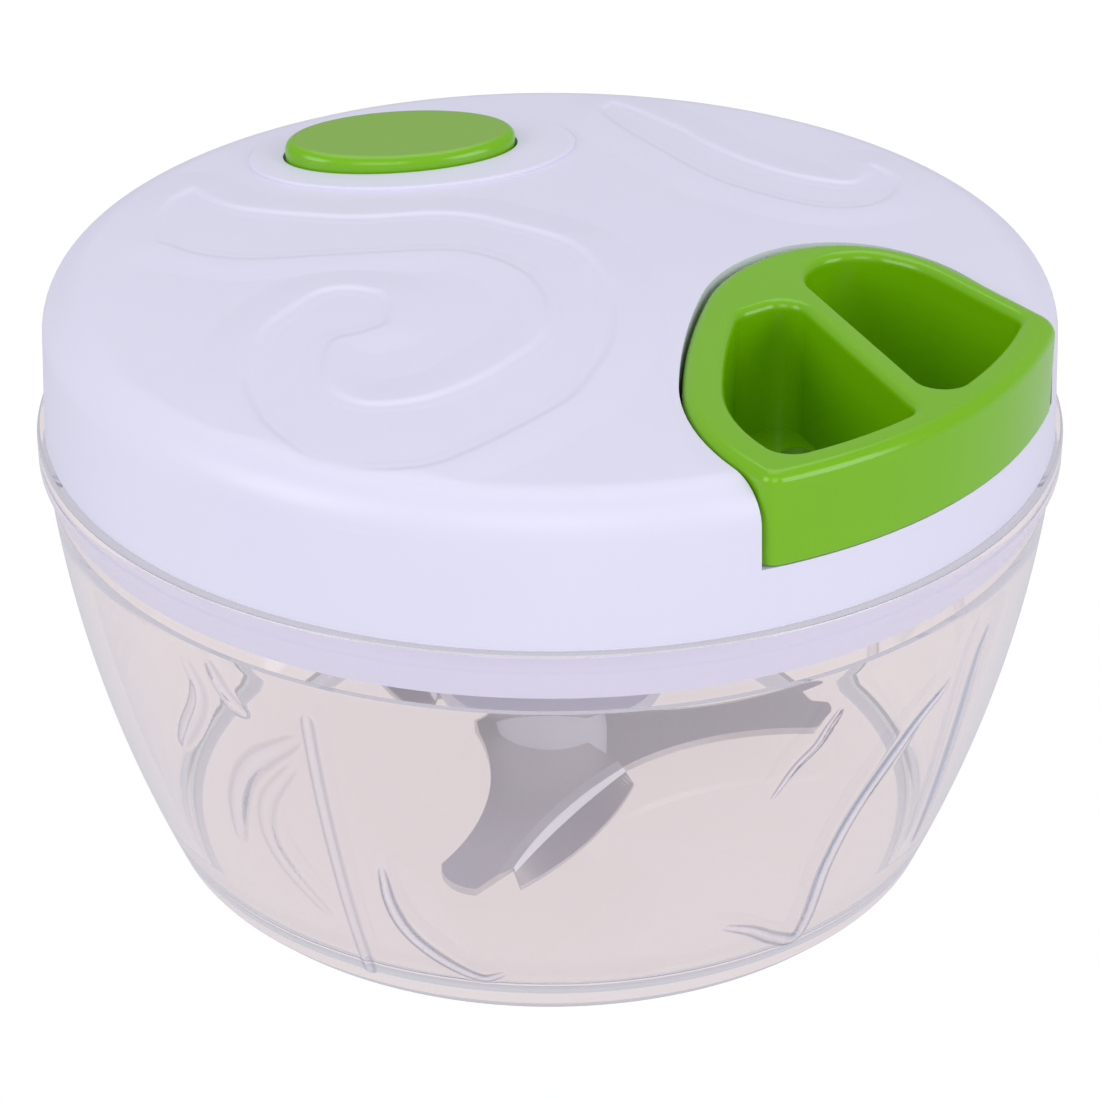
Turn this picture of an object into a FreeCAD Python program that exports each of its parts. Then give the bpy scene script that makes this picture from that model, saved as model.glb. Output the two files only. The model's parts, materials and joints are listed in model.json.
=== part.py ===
import FreeCAD, Part

import math
import os
import re

import Sketcher
from FreeCAD import Placement, Rotation, Vector

# Millimetres. The origin is the centre of the bowl's flat bottom, +Z is up
# and +X is the way the cord leaves the lid.

SIZES = {
    "bowl_height": 59.7,
    "lip_height": 3.8,
    "lip_overhang": 0.9,
    "lip_wall": 2.4,
    "base_radius": 50.3,
    "base_corner": 2.0,
    "wall_top_radius": 64.1,
    "wall_bulge": 2.5,
    "bowl_wall": 2.4,
    "bowl_floor": 2.8,
    "floor_corner": 6.0,
    "plug_depth": 8.7,
    "key_width": 3.0,
    "key_reach": 1.2,
    "key_height": 5.0,
    "key_root": 0.6,
    "key_angle": 110.0,
    "key_spacing": 90.0,
    "pin_boss_radius": 4.5,
    "pin_radius": 2.0,
    "pin_seat": 1.4,
    "pin_length": 28.0,
    "pin_edge": 0.8,
    "run_clearance": 0.05,
    "rest_gap": 0.3,
    "hub_base": 4.2,
    "stud_radius": 5.5,
    "nut_radius": 7.0,
    "nut_height": 2.0,
    "nut_notch": 1.2,
    "lower_spacing": 3.8,
    "upper_spacing": 8.8,
    "blade_thickness": 1.0,
    "ground_thickness": 0.45,
    "ground_slope": 1.1,
    "blade_ring_radius": 7.2,
    "blade_angle": 64.0,
    "blade_reach": 40.1,
    "root_x": 5.0,
    "root_y": -9.0,
    "hollow_rise": 3.95,
    "toe_set": 3.6,
    "toe_y": -0.4,
    "tip_round": 1.45,
    "shoulder_y": 5.7,
    "back_set": 6.6,
    "back_y": 8.0,
    "back_rise": 1.35,
    "heel_x": 7.0,
    "heel_y": 13.0,
    "ground_width": 1.5,
    "point_set": 5.9,
    "point_y": 9.2,
    "edge_rise": 1.75,
    "edge_drop": 2.2,
    "hub_radius": 7.7,
    "hub_drum": 1.8,
    "hub_flange_radius": 15.0,
    "hub_flange_thickness": 1.6,
    "hub_neck_radius": 6.0,
    "bush_wall": 1.05,
    "hex_width": 9.2,
    "hex_height": 5.4,
    "hex_clearance": 0.2,
    "socket_radius": 7.5,
    "socket_depth": 6.4,
    "socket_roof": 1.8,
    "screw_head_radius": 3.0,
    "screw_head_height": 1.4,
    "screw_radius": 1.5,
    "screw_length": 9.0,
    "cross_length": 1.7,
    "cross_width": 0.35,
    "cross_depth": 0.8,
    "skirt_gap": 0.35,
    "skirt_wall": 1.6,
    "skirt_rise": 2.0,
    "base_plate": 2.6,
    "well_radius": 36.0,
    "well_drop": 5.5,
    "well_floor": 2.2,
    "bush_flange_radius": 11.0,
    "bush_flange_height": 0.9,
    "base_bush_wall": 1.8,
    "cup_floor": 0.8,
    "cup_wall": 1.5,
    "cup_height": 6.5,
    "spring_thickness": 0.4,
    "spring_width": 4.8,
    "spring_turns": 8.0,
    "spool_hub_radius": 8.5,
    "disc_clearance": 1.0,
    "disc_thickness": 1.2,
    "disc_inset": 3.9,
    "cord_height": 10.1,
    "groove_height": 6.0,
    "flange_thickness": 1.4,
    "flange_radius": 17.6,
    "cord_radius": 0.8,
    "cord_turns": 3.5,
    "cord_layers": 2.0,
    "cord_core_radius": 13.0,
    "axle_radius": 2.5,
    "axle_depth": 12.0,
    "washer_thickness": 0.6,
    "lid_height": 18.1,
    "lid_inset": 0.95,
    "lid_draft": 0.6,
    "lid_shoulder": 5.5,
    "lid_crown": 1.5,
    "lid_wall": 2.2,
    "seat_gap": 0.2,
    "fixing_inset": 10.6,
    "fixing_angle": 64.0,
    "fixing_boss_radius": 3.6,
    "axle_boss_radius": 5.0,
    "pocket_clearance": 0.4,
    "pocket_wall": 1.8,
    "pocket_gap": 0.4,
    "grip_sink": 0.3,
    "grip_inset": 0.2,
    "grip_rim_wall": 4.35,
    "near_wall": 4.9,
    "far_wall": 3.2,
    "grip_edge": 1.6,
    "near_corner": 2.24,
    "far_corner": 4.5,
    "hole_web": 1.0,
    "drain_radius": 2.0,
    "near_drain_x": 33.8,
    "near_drain_y": 13.2,
    "far_drain_x": 40.0,
    "far_drain_y": 25.0,
    "hole_edge": 1.2,
    "hole_corner": 3.0,
    "hole_nose_corner": 7.0,
    "spool_clearance": 1.77,
    "nose_y": 24.7,
    "nose_radius": 24.0,
    "nose_turn": 40.0,
    "flank_radius": 110.0,
    "flank_turn": 13.0,
    "bend_radius": 31.0,
    "brow_radius": 14.3,
    "brow_turn": 59.0,
    "shoulder_radius": 20.5,
    "sill_height": 7.6,
    "rib_reach": 24.8,
    "rib_lean": -12.6,
    "rib_width": 3.6,
    "near_hole_lead": 12.0,
    "ferrule_radius": 1.25,
    "ferrule_length": 3.4,
    "ferrule_depth": 3.4,
    "slot_clearance": 0.1,
    "eyelet_bore": 1.2,
    "eyelet_radius": 2.2,
    "eyelet_lip_radius": 2.7,
    "eyelet_lip": 1.2,
    "eyelet_flare": 0.8,
    "eyelet_inset": 0.8,
    "button_inset": 23.2,
    "button_y": 4.2,
    "button_half_length": 15.5,
    "button_half_width": 8.8,
    "button_tilt": 66.0,
    "button_rise": 1.9,
    "button_thickness": 4.2,
    "button_edge": 1.4,
    "button_gap": 0.35,
    "button_travel": 2.0,
    "collar_width": 5.6,
    "collar_stretch": 1.0,
    "collar_shift": 1.6,
    "collar_rise": 0.45,
    "collar_edge": 0.35,
    "cup_depth": 9.0,
    "guide_floor": 2.0,
    "stem_radius": 2.4,
    "clip_radius": 4.2,
    "clip_thickness": 0.8,
    "pad_radius": 3.0,
    "pad_height": 2.6,
    "pad_gap": 0.15,
    "coil_radius": 4.0,
    "wire_radius": 0.35,
    "coil_turns": 4.0,
}

FIXINGS = 4
KEYS = 2
NUT_NOTCHES = 4
HEX_SIDES = 6
TOUCH = 0.01
QUARTER = 90
UP = Vector(0, 1, 0)
DOWN = Vector(0, -1, 0)

doc = FreeCAD.newDocument("food_chopper")
sheet = doc.addObject("Spreadsheet::Sheet", "sizes")
for row, (alias, number) in enumerate(SIZES.items(), start=1):
    sheet.set(f"A{row}", alias)
    sheet.set(f"B{row}", str(number))
    sheet.setAlias(f"B{row}", alias)
doc.recompute()

ALIAS = re.compile(r"\b(" + "|".join(SIZES) + r")\b")
nodes = []


def bound(expression):
    """The expression with each size read from the sheet."""
    return ALIAS.sub(r"sizes.\1", str(expression))


def size(expression):
    """The expression's present value as a plain number."""
    return float(sheet.evalExpression(bound(expression)))


def keep(piece, node):
    """Name a finished sub-part, so that it is written to its own file."""
    piece.Label = node
    nodes.append(piece)
    return piece


def cylinder(name, radius, low, high, x="0", y="0"):
    piece = doc.addObject("Part::Cylinder", name)
    piece.setExpression("Radius", bound(radius))
    piece.setExpression("Height", bound(f"({high}) - ({low})"))
    piece.setExpression("Placement.Base.x", bound(x))
    piece.setExpression("Placement.Base.y", bound(y))
    piece.setExpression("Placement.Base.z", bound(low))
    return piece


def block(name, lows, highs):
    piece = doc.addObject("Part::Box", name)
    for side, axis, low, high in zip(("Length", "Width", "Height"), "xyz", lows, highs):
        piece.setExpression(side, bound(f"({high}) - ({low})"))
        piece.setExpression(f"Placement.Base.{axis}", bound(low))
    return piece


def cut(name, base, tool):
    piece = doc.addObject("Part::Cut", name)
    piece.Base = base
    piece.Tool = tool
    return piece


def fuse(name, *pieces):
    piece = doc.addObject("Part::MultiFuse", name)
    piece.Shapes = list(pieces)
    return piece


def common(name, *pieces):
    piece = doc.addObject("Part::MultiCommon", name)
    piece.Shapes = list(pieces)
    return piece


def tube(name, outer, inner, low, high, x="0", y="0"):
    solid = cylinder(f"{name}_outside", outer, low, high, x, y)
    bore = cylinder(f"{name}_bore", inner, low, high, x, y)
    return cut(name, solid, bore)


def shaped(name, shape, placement=None):
    """A sub-part whose shape is made with Part's own functions."""
    piece = doc.addObject("Part::Feature", name)
    piece.Shape = shape
    if placement is not None:
        piece.Placement = placement
    return piece


def rounded(name, base, radius, chosen):
    """Round the edges of base that the test chooses."""
    doc.recompute()
    piece = doc.addObject("Part::Fillet", name)
    piece.Base = base
    edges = []
    for number, edge in enumerate(base.Shape.Edges, start=1):
        if chosen(edge):
            edges.append((number, size(radius), size(radius)))
    piece.Edges = edges
    return piece


def turned(name, corners):
    """A body turned about Z from a closed outline of (radius, height) corners.

    A corner with a third entry, a (radius, height) middle point, is joined to the next by an arc.
    """
    body = doc.addObject("PartDesign::Body", f"{name}_body")
    sketch = body.newObject("Sketcher::SketchObject", f"{name}_outline")
    planes = {plane.Role: plane for plane in body.Origin.OriginFeatures}
    sketch.AttachmentSupport = (planes["XZ_Plane"], [""])
    sketch.MapMode = "FlatFace"
    firsts = []
    for index, corner in enumerate(corners):
        start, end = spot(corner), spot(corners[(index + 1) % len(corners)])
        if len(corner) == 3:
            arc, first = upright_arc(start, spot(corner[2]), end)
            sketch.addGeometry(arc, False)
            firsts.append(first)
        else:
            sketch.addGeometry(Part.LineSegment(start, end), False)
            firsts.append(True)
    tie_to_sheet(sketch, corners, firsts)
    doc.recompute()
    turn = body.newObject("PartDesign::Revolution", f"{name}_turned")
    turn.Profile = sketch
    turn.ReferenceAxis = (sketch, ["V_Axis"])
    turn.Angle = 360.0
    body.Tip = turn
    return body


def spot(corner):
    return Vector(size(corner[0]), size(corner[1]), 0)


def upright_arc(start, middle, end):
    """A counter-clockwise arc through three points, and whether it begins at the start."""
    circle = Part.Circle(start, middle, end)
    centre, radius = circle.Center, circle.Radius
    turns_left = (middle - start).cross(end - middle).z > 0
    low, high = (start, end) if turns_left else (end, start)
    first = math.atan2(low.y - centre.y, low.x - centre.x)
    last = math.atan2(high.y - centre.y, high.x - centre.x)
    if last < first:
        last += 2 * math.pi
    arc = Part.ArcOfCircle(Part.Circle(centre, Vector(0, 0, 1), radius), first, last)
    return arc, turns_left


def end_point(is_first):
    """A sketch edge's own name for its first or its last point."""
    return 1 if is_first else 2


def tie_to_sheet(sketch, corners, firsts):
    """Join the outline's edges end to end, and tie every corner and radius to the sheet."""
    count = len(corners)
    for index in range(count):
        follower = (index + 1) % count
        sketch.addConstraint(Sketcher.Constraint(
            "Coincident", index, end_point(not firsts[index]), follower, end_point(firsts[follower])))
    for index, corner in enumerate(corners):
        for kind, value in (("DistanceX", corner[0]), ("DistanceY", corner[1])):
            made = sketch.addConstraint(
                Sketcher.Constraint(kind, -1, 1, index, end_point(firsts[index]), size(value)))
            sketch.setExpression(f"Constraints[{made}]", bound(value))
        if len(corner) == 3:
            radius = arc_radius(corner, corners[(index + 1) % count])
            made = sketch.addConstraint(Sketcher.Constraint("Radius", index, size(radius)))
            sketch.setExpression(f"Constraints[{made}]", bound(radius))


def arc_radius(corner, following):
    """The radius of the arc through a corner, its middle point and the next corner."""
    ar, az, (mr, mz) = corner
    br, bz = following[0], following[1]
    chord = f"sqrt((({br}) - ({ar}))^2 + (({bz}) - ({az}))^2)"
    one = f"sqrt((({mr}) - ({ar}))^2 + (({mz}) - ({az}))^2)"
    two = f"sqrt((({br}) - ({mr}))^2 + (({bz}) - ({mz}))^2)"
    twice = f"abs((({mr}) - ({ar})) * (({bz}) - ({az})) - (({br}) - ({ar})) * (({mz}) - ({az})))"
    return f"{chord} * {one} * {two} / (2 * {twice})"


def corner_middle(radius, side, level, radial, axial):
    """Middle point of a quarter round whose centre is (side, level), on the given sides."""
    half = math.sqrt(0.5)
    return (f"({side}) + {radial * half} * ({radius})", f"({level}) + {axial * half} * ({radius})")


def prism(wire, low, high):
    face = Part.Face(wire)
    face.translate(Vector(0, 0, size(low)))
    return face.extrude(Vector(0, 0, size(f"({high}) - ({low})")))


# Heights that several pieces share.
LID_BOTTOM = "(bowl_height + seat_gap)"
LID_SHOULDER_TOP = f"({LID_BOTTOM} + lid_height)"
LID_TOP = f"({LID_SHOULDER_TOP} + lid_crown)"
LEDGE = "(bowl_height - plug_depth)"
SKIRT_BOTTOM = f"({LEDGE} + skirt_rise)"
PLATE_TOP = f"({SKIRT_BOTTOM} + base_plate)"
WELL_BOTTOM = f"({SKIRT_BOTTOM} - well_drop)"
WELL_TOP = f"({WELL_BOTTOM} + well_floor)"
BLADE_BOTTOM = "(hub_base + nut_height)"
MIDDLE_BLADE = f"({BLADE_BOTTOM} + blade_thickness + lower_spacing)"
HUB_BOTTOM = f"({MIDDLE_BLADE} + blade_thickness + upper_spacing)"
HUB_FLANGE = f"({HUB_BOTTOM} + hub_drum)"
DISC_LOW = f"({WELL_TOP} + cup_height + disc_clearance)"
DISC_TOP = f"({DISC_LOW} + disc_thickness)"
CORD_LEVEL = f"({LID_BOTTOM} + cord_height)"
GROOVE_LOW = f"({CORD_LEVEL} - groove_height / 2)"
GROOVE_HIGH = f"({CORD_LEVEL} + groove_height / 2)"
SPOOL_TOP = f"({GROOVE_HIGH} + flange_thickness)"
HUB_LOW = f"({WELL_TOP} + bush_flange_height + rest_gap)"
SOCKET_ROOF = f"({HUB_LOW} - socket_roof)"
SOCKET_BOTTOM = f"({SOCKET_ROOF} - socket_depth)"
HEX_TOP = f"({SOCKET_ROOF} - screw_head_height - rest_gap)"
HEX_BOTTOM = f"({HEX_TOP} - hex_height)"
POCKET_FLOOR = f"({DISC_TOP} + pocket_clearance + pocket_wall)"
GRIP_BOTTOM = f"({POCKET_FLOOR} + rest_gap)"
GRIP_TOP = f"({LID_TOP} - grip_sink)"
HOLE_LOW = f"({GRIP_BOTTOM} + hole_web)"
SILL_TOP = f"({LID_BOTTOM} + sill_height)"
GRIP_SHELF = f"({SILL_TOP} + rest_gap)"
BUTTON_TOP = f"({LID_TOP} + button_rise)"
BUTTON_UNDER = f"({BUTTON_TOP} - button_thickness)"
GUIDE_HIGH = f"({LID_TOP} - cup_depth)"
GUIDE_LOW = f"({GUIDE_HIGH} - guide_floor)"
PAD_LOW = f"({DISC_TOP} + button_travel + pad_gap)"

# Radii and plan places that several pieces share.
LIP_RADIUS = "(wall_top_radius + lip_overhang)"
PLUG_RADIUS = f"({LIP_RADIUS} - lip_wall)"
LID_RADIUS = f"({LIP_RADIUS} - lid_inset)"
FAR = f"(2 * {LID_RADIUS})"
FIXING_RADIUS = f"({PLUG_RADIUS} - fixing_inset)"
DISC_RADIUS = f"({FIXING_RADIUS} - fixing_boss_radius - disc_inset)"
GRIP_RIM = f"({LID_RADIUS} - grip_inset)"
GRIP_INNER_RIM = f"({GRIP_RIM} - grip_rim_wall)"
BUTTON_X = f"(button_inset - {LID_RADIUS})"
SILL_RADIUS = f"({LID_RADIUS} - lid_wall)"
NOSE_REACH = "(flange_radius + spool_clearance + pocket_wall + pocket_gap + nose_radius)"
NOSE_X = f"sqrt({NOSE_REACH}^2 - nose_y^2)"
NOSE_TIP = f"({NOSE_X} - nose_radius)"
WINDING_RADIUS = "(cord_core_radius + 2 * cord_radius * cord_layers)"
CORD_LINE = f"({WINDING_RADIUS} - cord_radius)"
LINER_RADIUS = "(nose_radius + pocket_gap + pocket_wall)"
EYELET_SEAT = f"({NOSE_X} - sqrt({LINER_RADIUS}^2 - (nose_y - {CORD_LINE} - eyelet_lip_radius)^2))"


def wall_radius(height):
    """Outer radius of the bowl's curved wall at a height, on a parabola that the arc follows."""
    share = f"(({height}) / (bowl_height - lip_height))"
    return (f"base_radius + (wall_top_radius - base_radius) * {share}"
            f" + 4 * wall_bulge * {share} * (1 - {share})")


def make_bowl():
    top = "bowl_height"
    lip_low = "bowl_height - lip_height"
    middle = f"({lip_low} + base_corner) / 2"
    inside_low = "bowl_floor + floor_corner"
    inside_middle = f"({LEDGE} + {inside_low}) / 2"
    inner_foot = f"{wall_radius(inside_low)} - bowl_wall"
    inner_ledge = f"{wall_radius(LEDGE)} - bowl_wall"
    body = turned("bowl", [
        ("0", "0"),
        ("base_radius - base_corner", "0",
         corner_middle("base_corner", "base_radius - base_corner", "base_corner", 1, -1)),
        ("base_radius", "base_corner", (wall_radius(middle), middle)),
        ("wall_top_radius", lip_low),
        (LIP_RADIUS, lip_low),
        (LIP_RADIUS, top),
        (PLUG_RADIUS, top),
        (PLUG_RADIUS, LEDGE),
        (inner_ledge, LEDGE, (f"{wall_radius(inside_middle)} - bowl_wall", inside_middle)),
        (inner_foot, inside_low,
         corner_middle("floor_corner", f"{inner_foot} - floor_corner", inside_low, 1, -1)),
        (f"{inner_foot} - floor_corner", "bowl_floor"),
        ("pin_boss_radius", "bowl_floor"),
        ("pin_boss_radius", "hub_base - rest_gap"),
        ("pin_radius", "hub_base - rest_gap"),
        ("pin_radius", "pin_seat"),
        ("0", "pin_seat"),
    ])
    keys = []
    for index in range(KEYS):
        key = block(f"bowl_key_{index + 1}",
                    (f"{PLUG_RADIUS} - key_reach", "-key_width / 2", LEDGE),
                    (f"{PLUG_RADIUS} + key_root", "key_width / 2", f"{LEDGE} + key_height"))
        keys.append(spun(key, key_place(index)))
    return keep(fuse("bowl_solid", body, *keys), "bowl")


def key_place(index):
    return f"key_angle + {index} * key_spacing"


def spun(piece, angle):
    """Turn a finished tool about the Z axis by an angle in degrees."""
    doc.recompute()
    shape = piece.Shape.copy()
    shape.rotate(Vector(), Vector(0, 0, 1), size(angle))
    return shaped(f"{piece.Name}_turned", shape)


def make_pin():
    pin = cylinder("pin_solid", "pin_radius", "pin_seat", "pin_seat + pin_length")
    return keep(rounded("pivot_pin_shape", pin, "pin_edge",
                        lambda edge: lies_at(edge, "pin_seat + pin_length")), "pivot_pin")


def lies_at(edge, level):
    """Whether all of an edge lies at a height."""
    box = edge.BoundBox
    return abs(box.ZMin - size(level)) < TOUCH and abs(box.ZMax - size(level)) < TOUCH


def make_blades():
    """Three stamped blades, a third of a turn apart, stacked on the hub's stud."""
    blades = []
    levels = {"lower_blade": BLADE_BOTTOM, "middle_blade": MIDDLE_BLADE, "upper_blade": HUB_BOTTOM}
    for index, (node, low) in enumerate(levels.items()):
        arm = blade_arm(low)
        ring = Part.makeCylinder(size("blade_ring_radius"), size("blade_thickness"),
                                 Vector(0, 0, size(low)))
        hole = Part.makeCylinder(size("stud_radius"), size("blade_thickness"), Vector(0, 0, size(low)))
        blade = ring.fuse(arm).cut(hole).removeSplitter()
        blade.rotate(Vector(), Vector(0, 0, 1), size("blade_angle") - index * 360 / len(levels))
        blades.append(keep(shaped(f"{node}_shape", blade), node))
    return blades


def blade_arm(low):
    """One arm with its tip on +X: the flat body and the ground edge that is bent down beside it."""
    root, heel = place("root_x", "root_y"), place("heel_x", "heel_y")
    toe = place("blade_reach - toe_set", "toe_y")
    shoulder = place("blade_reach", "shoulder_y")
    back = place("blade_reach - back_set", "back_y")
    edge_heel = place("heel_x", "heel_y + ground_width")
    point = place("blade_reach - point_set", "point_y")
    slope_edge = bowed(back, heel, "back_rise")
    body = prism(Part.Wire([
        bowed(root, toe, "hollow_rise"),
        bowed(toe, shoulder, "-tip_round"),
        Part.LineSegment(shoulder, back).toShape(),
        slope_edge,
        Part.LineSegment(heel, Vector()).toShape(),
        Part.LineSegment(Vector(), root).toShape(),
    ]), low, f"{low} + blade_thickness")
    tops = [edge for edge in body.Edges if lies_at(edge, f"{low} + blade_thickness")]
    middle = (back + heel) / 2
    sloped = min(tops, key=lambda edge: (edge.CenterOfMass - middle).projectToPlane(
        Vector(), Vector(0, 0, 1)).Length)
    body = body.makeChamfer(size("blade_thickness - ground_thickness"), size("ground_slope"), [sloped])
    upper_edge, lower_edge = slope_edge.copy(), bowed(point, edge_heel, "-edge_rise")
    upper_edge.translate(Vector(0, 0, size(f"{low} + ground_thickness")))
    lower_edge.translate(Vector(0, 0, size(f"{low} + ground_thickness - edge_drop")))
    ground = Part.makeRuledSurface(upper_edge, lower_edge).extrude(
        Vector(0, 0, -size("ground_thickness")))
    return body.fuse(ground)


def place(x, y):
    return Vector(size(x), size(y), 0)


def bowed(start, end, rise):
    """An arc between two points that bows out to the left of its chord by the rise."""
    chord = end - start
    left = Vector(-chord.y, chord.x, 0).normalize()
    return Part.Arc(start, (start + end) / 2 + left * size(rise), end).toShape()


def make_hub(blades):
    middle, upper = blades[1:]
    bush = "pin_radius + run_clearance + bush_wall"
    bore_top = "pin_seat + pin_length + rest_gap"
    body = turned("hub", [
        (bush, "hub_base"),
        ("stud_radius", "hub_base"),
        ("stud_radius", HUB_BOTTOM),
        ("hub_radius", HUB_BOTTOM),
        ("hub_radius", HUB_FLANGE),
        ("hub_flange_radius", HUB_FLANGE),
        ("hub_flange_radius", f"{HUB_FLANGE} + hub_flange_thickness"),
        ("hub_radius", f"{HUB_FLANGE} + 2 * hub_flange_thickness"),
        ("hub_neck_radius", HEX_BOTTOM),
        ("0", HEX_BOTTOM),
        ("0", bore_top),
        (bush, bore_top),
    ])
    drive = shaped("hub_drive", prism(hexagon("hex_width"), f"{HEX_BOTTOM} - screw_radius", HEX_TOP))
    keep(cut("hub_solid", fuse("hub_whole", body, drive), upper), "blade_hub")
    sleeve = tube("hub_bush_solid", bush, "pin_radius + run_clearance", "hub_base",
                  "pin_seat + pin_length")
    keep(sleeve, "hub_bush")
    keep(tube("lower_ring", "hub_radius", "stud_radius", f"{BLADE_BOTTOM} + blade_thickness",
              MIDDLE_BLADE), "lower_spacer")
    ring = tube("upper_ring", "hub_radius", "stud_radius", MIDDLE_BLADE, HUB_BOTTOM)
    keep(cut("upper_ring_solid", ring, middle), "upper_spacer")
    nut = tube("nut_ring", "nut_radius", "stud_radius", "hub_base", BLADE_BOTTOM)
    notches = []
    for index in range(NUT_NOTCHES):
        notch = block(f"nut_notch_{index + 1}",
                      ("stud_radius + nut_notch / 2", "-nut_notch", "hub_base"),
                      ("nut_radius + nut_notch", "nut_notch", "hub_base + nut_notch"))
        notches.append(spun(notch, str(index * 360 / NUT_NOTCHES)))
    keep(cut("nut_solid", nut, fuse("nut_notches", *notches)), "blade_nut")


def hexagon(width):
    """A hexagonal wire about the axis, given its width across flats."""
    reach = size(width) / math.sqrt(3)
    corners = []
    for index in range(HEX_SIDES + 1):
        angle = 2 * math.pi * index / HEX_SIDES
        corners.append(Vector(reach * math.cos(angle), reach * math.sin(angle), 0))
    return Part.makePolygon(corners)


def make_lid_base():
    bush_hole = "socket_radius + run_clearance + base_bush_wall"
    skirt = f"{PLUG_RADIUS} - skirt_gap"
    body = turned("base", [
        (bush_hole, WELL_BOTTOM),
        ("well_radius", WELL_BOTTOM),
        ("well_radius", SKIRT_BOTTOM),
        (skirt, SKIRT_BOTTOM),
        (skirt, LID_BOTTOM),
        (f"{skirt} - skirt_wall", LID_BOTTOM),
        (f"{skirt} - skirt_wall", PLATE_TOP),
        ("well_radius - lid_wall", PLATE_TOP),
        ("well_radius - lid_wall", WELL_TOP),
        (bush_hole, WELL_TOP),
    ])
    cuts = []
    for index in range(FIXINGS):
        x, y = fixing_place(index)
        cuts.append(cylinder(f"base_hole_{index + 1}", "screw_radius", SKIRT_BOTTOM, PLATE_TOP, x, y))
        cuts.append(cylinder(f"base_seat_{index + 1}", "screw_head_radius + rest_gap", SKIRT_BOTTOM,
                             f"{SKIRT_BOTTOM} + screw_head_height", x, y))
    for index in range(KEYS):
        slot = block(f"base_slot_{index + 1}",
                     (f"{PLUG_RADIUS} - key_reach - rest_gap", "-key_width / 2 - rest_gap", LEDGE),
                     (LIP_RADIUS, "key_width / 2 + rest_gap", f"{LEDGE} + key_height + rest_gap"))
        cuts.append(spun(slot, key_place(index)))
    keep(cut("base_solid", body, fuse("base_cuts", *cuts)), "lid_base")


def fixing_place(index):
    angle = f"(fixing_angle + {index} * 360 / {FIXINGS})"
    return f"{FIXING_RADIUS} * cos({angle} * 1 deg)", f"{FIXING_RADIUS} * sin({angle} * 1 deg)"


def screw(name, head_low, x="0", y="0"):
    """A pan-head screw that points up, with a cross recess in its head."""
    head_top = f"{head_low} + screw_head_height"
    head = cylinder(f"{name}_head", "screw_head_radius", head_low, head_top, x, y)
    shank = cylinder(f"{name}_shank", "screw_radius", head_top, f"{head_top} + screw_length", x, y)
    arms = []
    for turn, (along, across) in enumerate((("cross_length", "cross_width"),
                                            ("cross_width", "cross_length"))):
        arms.append(block(f"{name}_cross_{turn + 1}",
                          (f"{x} - {along}", f"{y} - {across}", f"{head_low}"),
                          (f"{x} + {along}", f"{y} + {across}", f"{head_low} + cross_depth")))
    return cut(f"{name}_whole", fuse(f"{name}_body", head, shank), fuse(f"{name}_recess", *arms))


def make_base_screws():
    group = []
    for index in range(FIXINGS):
        x, y = fixing_place(index)
        group.append(screw(f"base_screw_{index + 1}", SKIRT_BOTTOM, x, y))
    doc.recompute()
    keep(shaped("base_screw_group", Part.makeCompound([piece.Shape for piece in group])), "base_screws")


def make_base_bush():
    bore = "socket_radius + run_clearance"
    keep(turned("base_bush", [
        (bore, WELL_BOTTOM),
        (f"{bore} + base_bush_wall", WELL_BOTTOM),
        (f"{bore} + base_bush_wall", WELL_TOP),
        ("bush_flange_radius", WELL_TOP),
        ("bush_flange_radius", f"{WELL_TOP} + bush_flange_height"),
        (bore, f"{WELL_TOP} + bush_flange_height"),
    ]), "base_bush")


def make_spring_cup():
    rim = "well_radius - lid_wall"
    keep(turned("spring_cup", [
        ("bush_flange_radius + rest_gap", WELL_TOP),
        (rim, WELL_TOP),
        (rim, f"{WELL_TOP} + cup_height"),
        (f"{rim} - cup_wall", f"{WELL_TOP} + cup_height"),
        (f"{rim} - cup_wall", f"{WELL_TOP} + cup_floor"),
        ("bush_flange_radius + rest_gap", f"{WELL_TOP} + cup_floor"),
    ]), "spring_cup")


def make_mainspring():
    """A strip wound in half-turn arcs whose centres step from side to side."""
    outer = size("well_radius - lid_wall - cup_wall - rest_gap")
    inner = size("spool_hub_radius + 2 * rest_gap")
    thick = size("spring_thickness")
    halves = int(2 * size("spring_turns"))
    step = (outer - thick - inner) / halves
    near, far = [], []
    centre, radius = 0.0, inner
    for half in range(halves):
        side = 1 if half % 2 == 0 else -1
        for edges, reach in ((near, radius), (far, radius + thick)):
            start = Vector(centre + side * reach, 0, 0)
            middle = Vector(centre, side * reach, 0)
            end = Vector(centre - side * reach, 0, 0)
            edges.append(Part.Arc(start, middle, end).toShape())
        radius += step
        centre += side * step
    ends = [Part.LineSegment(near[0].Vertexes[0].Point, far[0].Vertexes[0].Point).toShape(),
            Part.LineSegment(near[-1].Vertexes[1].Point, far[-1].Vertexes[1].Point).toShape()]
    wire = Part.Wire(Part.__sortEdges__(near + far + ends))
    low = f"{WELL_TOP} + cup_floor + rest_gap"
    keep(shaped("mainspring_strip", prism(wire, low, f"{low} + spring_width")), "mainspring")


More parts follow.
